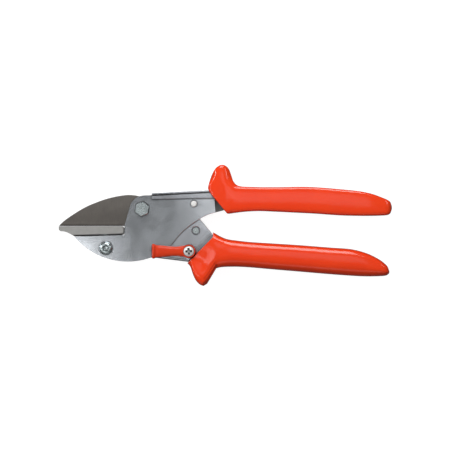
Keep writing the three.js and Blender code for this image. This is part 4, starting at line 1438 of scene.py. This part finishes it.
@dataclass
class Grip:
    """A glossy grip round a handle's tail, with a horn, and a slanted mouth where the steel comes out."""

    name: str
    node: str
    body: Body
    start: float
    length: float
    line: float
    rows: Sequence[Row]
    knee: Vector
    slant: float
    knee_round: float
    inner_halves: Sequence[Row]
    hollows: Sequence[Hollow]
    upper_power: float
    lower_power: float
    lip: float
    rim: Sequence[Vector] = ()
    rim_width: float = 0.0026
    rim_drop: float = 0.0026
    crown: float = 0.06
    height: float = 0.0158
    lip_face: float = 0.0004
    wall: float = 0.0034
    margin: float = 0.00003
    count: int = 208
    corner_share: float = 0.12
    steps: int = 210
    settle: float = 0.3
    inner_square: float = 10

    def __post_init__(self) -> None:
        """Works out the grip's half thickness and the curve through its rows."""
        low, high = levels(self.node)
        self.half = (high - low) / 2
        self.table = Table(self.rows)
        angles = np.linspace(0, 2 * math.pi, self.count, endpoint=False)
        self.angles = angles + self.corner_share * np.sin(4 * angles)
        self.lips = np.full(self.count, self.lip)

    def mouth_at(self, y: np.ndarray) -> np.ndarray:
        """Where the mouth's edge is at some heights."""
        below = self.knee.y - y
        rounded = (below + np.sqrt(below**2 + self.knee_round**2)) / 2
        return self.knee.x - rounded / math.tan(math.radians(self.slant))

    def section_at(self, x: np.ndarray, skin: np.ndarray, inside: bool) -> tuple[np.ndarray, np.ndarray]:
        """Heights and levels of the grip's surface at each angle round it.

        Args:
            x: The place of each angle's point.
            skin: How far the surface is drawn in at each angle.
            inside: Whether it is the surface inside, whose width follows the steel.

        Returns:
            The heights, and the levels from the middle plane.
        """
        top, bottom, half, square = self.table.at(np.clip((x - self.start) / self.length, 0, 1))
        top = self.line + top * self.height - skin
        bottom = self.line + bottom * self.height + skin
        half = half * self.half - skin
        up, out = np.sin(self.angles), np.cos(self.angles)
        square = square * np.where(up < 0, self.lower_power, self.upper_power)
        if inside:
            places, halves = zip(*self.inner_halves)
            half = np.interp(x, places, halves)
            square = self.inner_square
        reach = (np.abs(up) ** square + np.abs(out) ** square) ** (1 / square)
        rise = up / reach
        across = out / reach * (1 - self.crown * rise**2)
        y = (top + bottom) / 2 + rise * (top - bottom) / 2
        if not inside:
            for hollow in self.hollows:
                across = across * (1 - hollow.at(x, y))
            across = across * (1 - self.rim_drop / self.half * self.rim_share(x, y))
        return y, across * half

    def rim_share(self, x: np.ndarray, y: np.ndarray) -> np.ndarray:
        """How far the rounding along the rim draws the faces in: 1 on the rim itself, 0 off it."""
        nearest = np.full(self.count, self.rim_width)
        for first, second in zip(self.rim, self.rim[1:]):
            nearest = np.minimum(nearest, beside(first, second, x, y)[1])
        return 1 - np.sqrt(1 - (1 - nearest / self.rim_width) ** 2)

    def ring(self, place: float, back: np.ndarray, skin: np.ndarray, inside: bool = False) -> list[Vector]:
        """A ring round the grip, slanted like the mouth near it and square to the grip further on.

        Args:
            place: How far along the grip it is, from 0 at the mouth to 1 at the end.
            back: How far it is set back from there at each angle.
            skin: How far it is drawn in at each angle.
            inside: Whether it is a ring of the surface inside.

        Returns:
            Its points.
        """
        low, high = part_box(self.node)
        furthest = float(np.max(self.mouth_at(np.linspace(self.knee.y, self.line - self.height, 40))))
        furthest = min(max(furthest, self.knee.x), self.knee.x + self.height)
        plane = furthest + (self.start + self.length - furthest) * place
        share = min(place / self.settle, 1)
        settled = share * share * (3 - 2 * share)
        first = np.full(self.count, low.x - OVERRUN)
        last = np.full(self.count, high.x + OVERRUN)
        for _ in range(40):
            x = (first + last) / 2
            y, _ = self.section_at(x, skin, inside)
            wanted = (self.mouth_at(y) + back) * (1 - settled) + plane * settled
            first = np.where(wanted > x, x, first)
            last = np.where(wanted > x, last, x)
        y, z = self.section_at(x, skin, inside)
        return [Vector(point) for point in zip(x, y, MIDDLE + z)]

    def build(self, bench: Bench) -> None:
        """Makes the grip, open at its mouth."""
        none = np.zeros(self.count)
        inner = self.lips + self.lip_face
        rings = [self.ring(share, none, inner + self.wall * min(share * 6, 1), True) for share in (0.5, 0.2, 0.06)]
        rings.append(self.ring(0, self.lips, inner, True))
        rings.append(self.ring(0, none, inner, True))
        for angle in np.radians([90, 75, 60, 45, 30, 15, 0]):
            rings.append(
                self.ring(0, self.lips * (1 - math.sin(angle)), self.lips * (1 - math.cos(angle)) + self.margin)
            )
        for share in np.linspace(0, 1, self.steps + 1)[1:]:
            rings.append(self.ring(float(1 - (1 - share) ** 1.25), self.lips * (1 - share), none + self.margin))
        solid = Solid()
        made = [solid.ring(points) for points in rings]
        for first, second in zip(made, made[1:]):
            solid.bridge(first, second)
        solid.cap(made[0])
        centre = sum(rings[-1], Vector()) / self.count
        inner = solid.ring([centre + (point - centre) * 0.5 for point in rings[-1]])
        solid.bridge(made[-1], inner)
        solid.fan(inner, centre)
        piece = solid.made(self.name)
        bench.seat(piece, Slot.GRIP_PLASTIC, self.body, self.node, sharp=70)


UPPER_GRIP_ROWS = (
    (0, 0.3, -0.54, 0.86, 3.4),
    (0.0125, 0.38, -0.54, 0.87, 3.4),
    (0.018, 0.56, -0.545, 0.88, 3.2),
    (0.028, 0.82, -0.545, 0.91, 3),
    (0.043, 1.1, -0.545, 0.94, 2.8),
    (0.062, 1.3, -0.545, 0.97, 2.7),
    (0.087, 1.4, -0.548, 0.985, 3.6),
    (0.112, 1.362, -0.548, 1, 3.8),
    (0.13, 1.218, -0.548, 1, 3.6),
    (0.141, 1, -0.54, 1, 2.7),
    (0.151, 0.768, -0.528, 1, 2.8),
    (0.168, 0.608, -0.51, 1, 3),
    (0.192, 0.543, -0.487, 1, 3.5),
    (0.24, 0.52, -0.455, 1, 3.5),
    (0.3, 0.51, -0.443, 1, 3.5),
    (0.4, 0.51, -0.475, 1, 3.5),
    (0.51, 0.523, -0.515, 1, 3.5),
    (0.59, 0.507, -0.545, 1, 3.5),
    (0.72, 0.431, -0.612, 1, 3.5),
    (0.83, 0.343, -0.635, 1, 3.5),
    (0.895, 0.24, -0.635, 0.99, 3),
    (0.943, 0.11, -0.625, 0.95, 2.9),
    (0.977, 0, -0.6, 0.87, 2.8),
    (0.992, -0.09, -0.53, 0.7, 2.6),
    (1, -0.24, -0.38, 0.4, 2.4),
)
LOWER_GRIP_ROWS = (
    (0, 1, -0.03, 0.95, 3.4),
    (0.013, 1.02, -0.12, 0.955, 3.6),
    (0.03, 1.05, -0.28, 0.96, 4.4),
    (0.04, 1.06, -0.53, 0.965, 5.2),
    (0.054, 1.08, -0.785, 0.97, 6.4),
    (0.072, 1.1, -0.956, 0.975, 6.4),
    (0.089, 1.12, -1.03, 0.975, 5.6),
    (0.1, 1.125, -1.033, 0.975, 4.8),
    (0.107, 1.13, -0.998, 0.975, 4.4),
    (0.118, 1.13, -0.862, 0.975, 3.9),
    (0.13, 1.13, -0.683, 0.98, 3.5),
    (0.14, 1.11, -0.505, 0.98, 3.3),
    (0.152, 1.06, -0.358, 0.985, 3.2),
    (0.172, 0.965, -0.3, 0.98, 3.4),
    (0.198, 0.867, -0.278, 0.99, 3.2),
    (0.223, 0.816, -0.272, 1, 3),
    (0.26, 0.775, -0.272, 1, 3),
    (0.32, 0.722, -0.297, 1, 3),
    (0.418, 0.671, -0.367, 1, 3),
    (0.564, 0.595, -0.468, 1, 3),
    (0.711, 0.5, -0.57, 1, 3),
    (0.808, 0.443, -0.627, 1, 3),
    (0.857, 0.361, -0.65, 1, 3),
    (0.906, 0.222, -0.658, 0.99, 3),
    (0.954, 0.013, -0.648, 0.95, 2.9),
    (0.978, -0.139, -0.633, 0.87, 2.8),
    (0.992, -0.26, -0.6, 0.73, 2.6),
    (1, -0.42, -0.54, 0.42, 2.4),
)


@dataclass
class UpperHandle:
    """The channel that grips the plates' top edges, with its grip."""

    plates: Plates
    sheet: float = 0.0012
    bend: float = 0.00012
    rim_round: float = 0.0004
    start: float = 0.0061
    lip: float = 0.0039
    mouth_x: float = 0.0411
    line: float = 0.0057
    grip_length: float = 0.11789
    grip_start: float = 0.0395
    horn_rim: tuple[Row, ...] = (
        (0.0425, 0.0098),
        (0.0411, 0.0115),
        (0.041, 0.0128),
        (0.0398, 0.0152),
        (0.0412, 0.0178),
        (0.043, 0.0187),
        (0.0444, 0.022),
    )

    def grip(self) -> Grip:
        """The grip."""
        return Grip(
            name="grip_upper",
            node="upper_grip",
            body=Body.ANVIL_LEVER,
            start=self.grip_start,
            length=self.grip_length,
            line=self.line,
            rows=UPPER_GRIP_ROWS,
            knee=Vector((self.mouth_x, 0.012)),
            slant=-50.2,
            knee_round=0.0015,
            inner_halves=((0.04, 0.0068), (0.15, 0.0068)),
            hollows=(Hollow(Vector((0.0586, 0.027)), Vector((0.0592, 0.0216)), 0.0044, 0.6, 0.54),),
            upper_power=4,
            lower_power=2.2,
            lip=0.0005,
            rim=[Vector(point) for point in self.horn_rim],
        )

    def build(self, bench: Bench) -> None:
        """Makes the channel and the grip, and keeps the rivet inside."""
        grip = self.grip()
        half = levels("upper_channel")[1] - MIDDLE
        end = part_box("upper_channel")[1].x

        def web_at(x: float) -> float:
            """The height of the web in front of the grip."""
            return self.plates.top_at(x) + SEAT_GAP + self.sheet

        mouth = self.mouth_x + grip.wall
        settle = mouth + grip.height * 0.9
        rows = [
            (self.start, web_at(self.start), web_at(self.start) - self.lip),
            (mouth, web_at(mouth), web_at(mouth) - self.lip - self.sheet),
        ]
        for x in np.linspace(settle, end, 6):
            top, bottom, _, _ = grip.table.at(np.array((x - grip.start) / grip.length))
            high = grip.line + float(top) * grip.height - grip.wall
            low = grip.line + float(bottom) * grip.height + grip.wall
            rows.append((float(x), high, low))
        pressing = Pressing(
            half, self.sheet, self.bend, self.rim_round, line_drop=0.0009, line_width=0.001, line_depth=0.0009
        )
        piece = loft([pressing.ring(*row) for row in rows]).made("handle_channel")
        bench.seat(piece, Slot.HANDLE_STEEL, Body.ANVIL_LEVER, "upper_channel")
        bench.keep("channel_rivet", Slot.FASTENER_ZINC)
        grip.build(bench)


@dataclass
class LowerLever:
    """The pressed lever that carries the blade and the latch, with its grip."""

    sheet: float = 0.0015
    bend: float = 0.0019
    boss_radius: float = 0.0072
    heel_x: float = 0.001
    heel_drop: float = 0.0305
    web_start_x: float = 0.0092
    web_start_drop: float = 0.0309
    mouth_drop: float = 0.0334
    shoulder: Vector = Vector((0.0363, -0.0062))
    elbow: Vector = Vector((0.034, -0.0042))
    throat: Vector = Vector((0.0445, -0.0161))
    flange: float = 0.004
    edge: float = 0.0003
    tail_half: float = 0.0065
    flare_start: float = -0.004
    flare_end: float = 0.014
    recess_radius: float = 0.0027
    recess_depth: float = 0.0005
    knee: Vector = Vector((0.0446, -0.0177))
    grip_length: float = 0.1293
    line: float = -0.0322
    eye_radius: float = 0.0041
    latch_room: float = 0.0005

    def __post_init__(self) -> None:
        """Takes the cheeks' levels and the mouth's slant from the frame."""
        self.latch = middle_of("latch_screw")
        self.cheek_outer = levels("spring_rivet")[0]
        self.half = MIDDLE - self.cheek_outer
        away = self.latch - self.knee
        aside = math.asin((self.eye_radius + self.latch_room) / away.length)
        self.slant = math.degrees(math.atan2(away.y, away.x) + aside) % 180

    def web_at(self, x: float) -> float:
        """The height of the web's outer face in front of the grip."""
        share = (x - self.web_start_x) / (self.latch.x - self.web_start_x)
        return -self.web_start_drop - (self.mouth_drop - self.web_start_drop) * share

    def grip(self) -> Grip:
        """The grip."""
        return Grip(
            name="grip_lower",
            node="lower_grip",
            body=Body.BLADE_LEVER,
            start=self.knee.x - 0.0181,
            length=self.grip_length,
            line=self.line,
            rows=LOWER_GRIP_ROWS,
            knee=self.knee,
            slant=self.slant,
            knee_round=0.0004,
            inner_halves=((0.03, 0.0034), (0.0365, 0.0036), (0.0446, 0.0052), (0.06, 0.0066)),
            hollows=(Hollow(Vector((0.0315, -0.0297)), Vector((0.0375, -0.0332)), 0.0074, 0.2, 0.17),),
            upper_power=1.6,
            lower_power=0.87,
            lip=0.0003,
        )

    def cheek(self, name: str, low: float, front: bool) -> bpy.types.Object:
        """Makes one cheek.

        Args:
            name: The piece's name.
            low: Its lower level.
            front: Whether it is the front one, which has the rivet's recess.

        Returns:
            The cheek.
        """
        high = low + self.sheet
        raised = self.bend - self.edge
        clockwise = [
            *arc(Vector((0, 0)), self.boss_radius, 195, 60, 40),
            self.elbow,
            self.shoulder,
            self.throat,
            self.throat + Vector((0.003, -0.003)),
            Vector((self.throat.x, self.web_at(self.throat.x) + raised)),
            Vector((self.web_start_x, self.web_at(self.web_start_x) + raised)),
            Vector((self.web_start_x, -self.web_start_drop)),
            Vector((self.heel_x, -self.heel_drop)),
        ]
        rims = [
            Rim(clockwise[::-1], round_edge(low, high, self.edge)),
            Rim.bore(middle_of("pivot_bush"), 0.0041, low, high),
            Rim.bore(self.latch, 0.002, low, high),
            Rim.bore(middle_of("blade_rivet_1"), 0.0016, low, high),
            Rim.bore(middle_of("blade_rivet_2"), 0.0016, low, high),
        ]
        rivet = middle_of("spring_rivet")
        bore = Rim.bore(rivet, 0.0017, low, high)
        if front:
            out = self.recess_radius - 0.0017
            floor = high - self.recess_depth
            rows = [(-out - 0.0002, high), (-out, high - 0.0002), (-out, floor + 0.0002)]
            rows += [(0.0002 - out, floor), (0, floor), (0, low)]
            bore = Rim(bore.outline, rows)
        rims.append(bore)
        return slab(rims).made(name)

    def flare(self, x: float, y: float) -> float:
        """How much wider the lever is at a point, as a share of its width in front of the grip."""
        turn = math.radians(self.slant)
        across = Vector((math.sin(turn), -math.cos(turn)))
        past = (Vector((x, y)) - self.knee).dot(across)
        share = min(max((past - self.flare_start) / (self.flare_end - self.flare_start), 0), 1)
        return (self.tail_half / self.half - 1) * share * share * (3 - 2 * share)

    def channel(self, grip: Grip) -> bpy.types.Object:
        """The channel with its web downwards, as wide as the cheeks all along."""
        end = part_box("lower_channel")[1].x
        wide = self.throat.x
        inside, settle = wide + grip.height / 3, wide + grip.height
        rows = [
            (self.web_start_x, self.web_at(self.web_start_x), self.web_at(self.web_start_x) + self.flange),
            (self.latch.x, self.web_at(self.latch.x), self.web_at(self.latch.x) + self.flange),
            (wide, self.web_at(wide) + self.flange / 4, -0.022),
        ]
        for x in (inside, *np.linspace(settle, end, 6)):
            top, bottom, _, _ = grip.table.at(np.array((x - grip.start) / grip.length))
            web = grip.line + float(bottom) * grip.height + grip.wall
            rim = grip.line + float(top) * grip.height - grip.wall
            rows.append((float(x), web, rim))
        pressing = Pressing(self.half, self.sheet, self.bend, self.edge)
        return loft([pressing.ring(*row) for row in rows]).made("lever_channel")

    def build(self, bench: Bench) -> None:
        """Makes the lever in one piece, its rivet and its grip."""
        grip = self.grip()
        piece = self.channel(grip)
        combine(piece, self.cheek("front_cheek", MIDDLE + self.half - self.sheet, True), Joining.ADD)
        combine(piece, self.cheek("rear_cheek", MIDDLE - self.half, False), Joining.ADD)
        solid = Solid()
        solid.mesh.from_mesh(piece.data)
        bpy.data.objects.remove(piece)
        turn = math.radians(self.slant)
        across = Vector((math.sin(turn), -math.cos(turn), 0))
        for past in np.linspace(self.flare_start, self.flare_end, 13):
            solid.split(self.knee.to_3d() + across * past, across)
        for corner in solid.mesh.verts:
            corner.co.z = MIDDLE + (corner.co.z - MIDDLE) * (1 + self.flare(corner.co.x, corner.co.y))
        piece = solid.made("lever_pressing")
        bench.seat(piece, Slot.HANDLE_STEEL, Body.BLADE_LEVER, "lower_channel")
        self.rivet(bench)
        grip.build(bench)

    def rivet(self, bench: Bench) -> None:
        """Makes the rivet that the spring pushes on, its head in a recess."""
        low, high = levels("spring_rivet")
        head_low = high - 0.0005
        rows = [
            plain(0, high),
            plain(0.0019, high),
            plain(0.002, high - 0.0001),
            plain(0.002, head_low),
            plain(0.0016, head_low),
            plain(0.0016, low + 0.0002),
            plain(0.0014, low),
            plain(0, low),
        ]
        piece = polar(middle_of("spring_rivet"), rows, 48).made("spring_rivet_pin")
        bench.seat(piece, Slot.FASTENER_ZINC, Body.BLADE_LEVER, "spring_rivet")


# The thumb latch


@dataclass
class ThumbLatch:
    """A moulded thumb lever, waisted like a spool, on its cross-head screw."""

    length: float = 0.0232
    eye_radius: float = 0.0041
    thickness: float = 0.0034
    seat_depth: float = 0.001
    head_radius: float = 0.0033
    voxel: float = 0.00013
    cross_turn: float = 4
    cross_length: float = 0.0046
    cross_width: float = 0.0015
    cross_depth: float = 0.0019
    rows: tuple[Row, ...] = (
        (0, 0.97, 0.7),
        (0.014, 1.08, 0.9),
        (0.04, 1.12, 1.04),
        (0.062, 1.12, 1.03),
        (0.085, 1.05, 0.92),
        (0.108, 0.95, 0.84),
        (0.13, 0.93, 0.87),
        (0.165, 0.93, 0.93),
        (0.25, 0.89, 0.94),
        (0.5, 0.75, 0.92),
        (0.65, 0.7, 0.92),
        (0.8, 0.79, 0.94),
        (0.92, 0.87, 0.96),
        (1, 0.87, 0.96),
    )

    def __post_init__(self) -> None:
        """Takes the latch's place from the frame."""
        self.middle = middle_of("latch_screw")
        self.top = levels("front_plate")[1] + 0.0003 + self.thickness

    def blank(self) -> bpy.types.Object:
        """The thumb lever's waisted body."""
        table = Table(self.rows)
        rings = []
        middle = self.top - self.thickness / 2
        angles = np.linspace(0, 2 * math.pi, 48, endpoint=False)
        for share in np.linspace(0, 1, 90):
            height, half = table.at(np.array(share))
            x = self.middle.x - self.length * (1 - share)
            ring = []
            for angle in angles:
                up = math.copysign(abs(math.sin(angle)) ** 0.9, math.sin(angle))
                out = math.copysign(abs(math.cos(angle)) ** 0.9, math.cos(angle))
                level = middle + (half - 1) * self.thickness / 2 + out * half * self.thickness / 2
                ring.append((x, self.middle.y + up * height * self.eye_radius, level))
            rings.append(ring)
        return loft(rings).made("thumb_latch")

    def build(self, bench: Bench) -> None:
        """Makes the latch, its screw and its nut, and keeps the washer."""
        piece = self.blank()
        low = levels("latch")[0]
        eye = [plain(0, self.top), plain(self.eye_radius, self.top), plain(self.eye_radius, low), plain(0, low)]
        combine(piece, polar(self.middle, eye, 64).made("eye"), Joining.ADD)
        seat = self.top - self.seat_depth
        bore = [plain(0, self.top + OVERRUN), plain(self.head_radius + SEAT_GAP, self.top + OVERRUN)]
        bore += [plain(self.head_radius + SEAT_GAP, seat), plain(0.002, seat)]
        bore += [plain(0.002, low - OVERRUN), plain(0, low - OVERRUN)]
        combine(piece, polar(self.middle, bore, 64).made("bore"), Joining.TAKE_AWAY)
        remesh = piece.modifiers.new("fine_skin", "REMESH")
        remesh.mode = "VOXEL"
        remesh.voxel_size = self.voxel
        smooth = piece.modifiers.new("moulded_edges", "SMOOTH")
        smooth.factor = 0.5
        smooth.iterations = 6
        evaluated(piece)
        bench.seat(piece, Slot.LATCH_PLASTIC, Body.THUMB_LATCH, "latch", sharp=80)
        self.screw(bench, seat)
        made = nut("latch_nut", "latch_nut_m4", 0.0065, 0.002, 0, 0.0004)
        bench.seat(made, Slot.FASTENER_ZINC, Body.BLADE_LEVER, "latch_nut")
        bench.keep("latch_washer", Slot.FASTENER_ZINC)

    def screw(self, bench: Bench, seat: float) -> None:
        """Makes the cross-head screw.

        Args:
            bench: Where it is finished.
            seat: The level of the latch's face under its head.
        """
        end, top = levels("latch_screw")
        under = seat + SEAT_GAP
        rows = [
            *dome(self.head_radius, under + 0.0006, top, 0.45, 10),
            plain(self.head_radius, under + 0.0001),
            plain(self.head_radius - 0.0001, under),
            *Fastener("latch_screw", 0.0019, 0.0004, 0.0007, 0.0028).shank(end, under),
        ]
        piece = polar(self.middle, rows, 96).made("latch_screw_m4")
        for turn in (self.cross_turn, self.cross_turn + 90):
            combine(piece, self.cross_arm(turn, top), Joining.TAKE_AWAY)
        bench.seat(piece, Slot.FASTENER_ZINC, Body.BLADE_LEVER, "latch_screw", pale=True)

    def cross_arm(self, turn: float, top: float) -> bpy.types.Object:
        """One arm pair of the cross recess, narrower towards its floor.

        Args:
            turn: The way that it points, in degrees.
            top: The level of the head's top.

        Returns:
            The cutting tool.
        """
        along = Vector((math.cos(math.radians(turn)), math.sin(math.radians(turn))))
        aside = Vector((-along.y, along.x))
        rings = []
        for level, share in ((top - self.cross_depth, 0.75), (top, 1.0), (top + OVERRUN, 1.05)):
            far = along * self.cross_length / 2 * share
            wide = aside * self.cross_width / 2 * (0.5 + share / 2)
            corners = (far + wide, wide - far, -far - wide, far - wide)
            rings.append([(*(self.middle + corner), level) for corner in corners])
        return loft(rings).made("cross_arm")


# The studio


@dataclass(frozen=True)
class Lamp:
    """A soft lamp that looks at the tool."""

    name: str
    place: tuple[float, float, float]
    width: float
    height: float
    brightness: float

    def build(self, target: Vector) -> None:
        """Hangs the lamp and aims it."""
        data = bpy.data.lights.new(self.name, "AREA")
        data.shape = "RECTANGLE"
        data.size = self.width
        data.size_y = self.height
        data.energy = self.brightness * math.pi * self.width * self.height
        lamp = bpy.data.objects.new(self.name, data)
        lamp.location = self.place
        back = (Vector(self.place) - target).normalized()
        across = Vector((0, 1, 0)).cross(back).normalized()
        lamp.rotation_euler = Matrix((across, back.cross(across), back)).transposed().to_euler()
        bpy.context.scene.collection.objects.link(lamp)


@dataclass
class Studio:
    """A pale floor, soft lamps and the camera straight above the tool."""

    look_at: Vector = Vector((0.0528, -0.0107, 0.012))
    view_width: float = 0.285
    lens: float = 150
    sensor: float = 36
    floor_reach: float = 2.5
    lamps: tuple[Lamp, ...] = (
        Lamp("window", (0.085, 0.5, 0.5), 0.36, 0.46, 6.8),
        Lamp("left_box_behind", (-0.53, 0.16, 0.55), 0.17, 0.17, 21),
        Lamp("left_box_in_front", (-0.56, -0.12, 0.55), 0.17, 0.17, 7),
        Lamp("right_card", (0.62, 0.22, 0.55), 0.2, 0.2, 3),
        Lamp("front_card", (0.05, -0.62, 0.36), 0.7, 0.25, 0.5),
        Lamp("over_the_nose", (-0.125, -0.096, 0.7), 0.1, 0.14, 2.7),
        Lamp("over_the_tail", (0.044, 0.022, 0.69), 0.03, 0.04, 1.1),
        Lamp("over_the_handles", (0.128, 0.051, 0.7), 0.197, 0.165, 0.8),
    )

    def camera(self) -> None:
        """Makes the camera, with the photo's field of view."""
        data = bpy.data.cameras.new("camera")
        data.lens = self.lens
        data.sensor_width = self.sensor
        data.clip_end = 10
        camera = bpy.data.objects.new("camera", data)
        distance = self.view_width * self.lens / self.sensor
        camera.location = self.look_at + Vector((0, 0, distance))
        bpy.context.scene.collection.objects.link(camera)
        bpy.context.scene.camera = camera

    def floor(self) -> None:
        """Lays the pale floor, which glows a little so that it reads as plain white."""
        solid = Solid()
        corners = [(-1, -1), (1, -1), (1, 1), (-1, 1)]
        solid.cap(solid.ring((x * self.floor_reach, y * self.floor_reach, 0) for x, y in corners))
        floor = solid.made("floor")
        shader = Shader("pale_floor")
        grain = shader.noise(0.01, 3)
        shader.give(
            Base_Color=shader.between(grain, (0.22, 0.22, 0.22), (0.2, 0.2, 0.2)),
            Roughness=0.9,
            Specular_IOR_Level=0.0,
            Emission_Color=(1, 1, 1),
            Emission_Strength=0.96,
        )
        floor.data.materials.append(shader.material)
        floor.visible_glossy = False
        floor.visible_diffuse = False

    def sky(self) -> None:
        """A room that is bright overhead and darker towards the horizon."""
        world = bpy.data.worlds.new("room")
        world.use_nodes = True
        bpy.context.scene.world = world
        tree = world.node_tree
        tree.nodes.clear()
        place = tree.nodes.new("ShaderNodeTexCoord")
        split = tree.nodes.new("ShaderNodeSeparateXYZ")
        ramp = tree.nodes.new("ShaderNodeValToRGB")
        back = tree.nodes.new("ShaderNodeBackground")
        output = tree.nodes.new("ShaderNodeOutputWorld")
        stops = ((0.0, 0.09), (0.3, 0.11), (0.7, 0.14), (0.95, 0.18))
        ramp.color_ramp.elements.remove(ramp.color_ramp.elements[1])
        for i, (height, light) in enumerate(stops):
            element = ramp.color_ramp.elements[0] if i == 0 else ramp.color_ramp.elements.new(height)
            element.position = height
            element.color = (light, light, light, 1)
        tree.links.new(place.outputs["Generated"], split.inputs["Vector"])
        tree.links.new(split.outputs["Z"], ramp.inputs["Fac"])
        tree.links.new(ramp.outputs["Color"], back.inputs["Color"])
        tree.links.new(back.outputs["Background"], output.inputs["Surface"])

    def build(self) -> None:
        """Sets up the studio."""
        bpy.context.scene.view_settings.view_transform = "Standard"
        self.camera()
        self.floor()
        self.sky()
        for lamp in self.lamps:
            lamp.build(self.look_at)
        log.info("studio: %d lamps", len(self.lamps))


def main() -> None:
    """Builds the studio and the tool's sub-assemblies in order, and logs each one as it is done."""
    logging.basicConfig(level=logging.INFO, format="%(name)s: %(message)s")
    Studio().build()
    bench = Bench()
    plates = Plates()
    assemblies = [
        plates,
        Anvil(plates),
        PivotSet(),
        AnvilScrew(),
        Spring(),
        Blade(),
        UpperHandle(plates),
        LowerLever(),
        ThumbLatch(),
    ]
    for assembly in assemblies:
        assembly.build(bench)
        log.info("%s done", type(assembly).__name__)


if __name__ == "__main__":
    main()
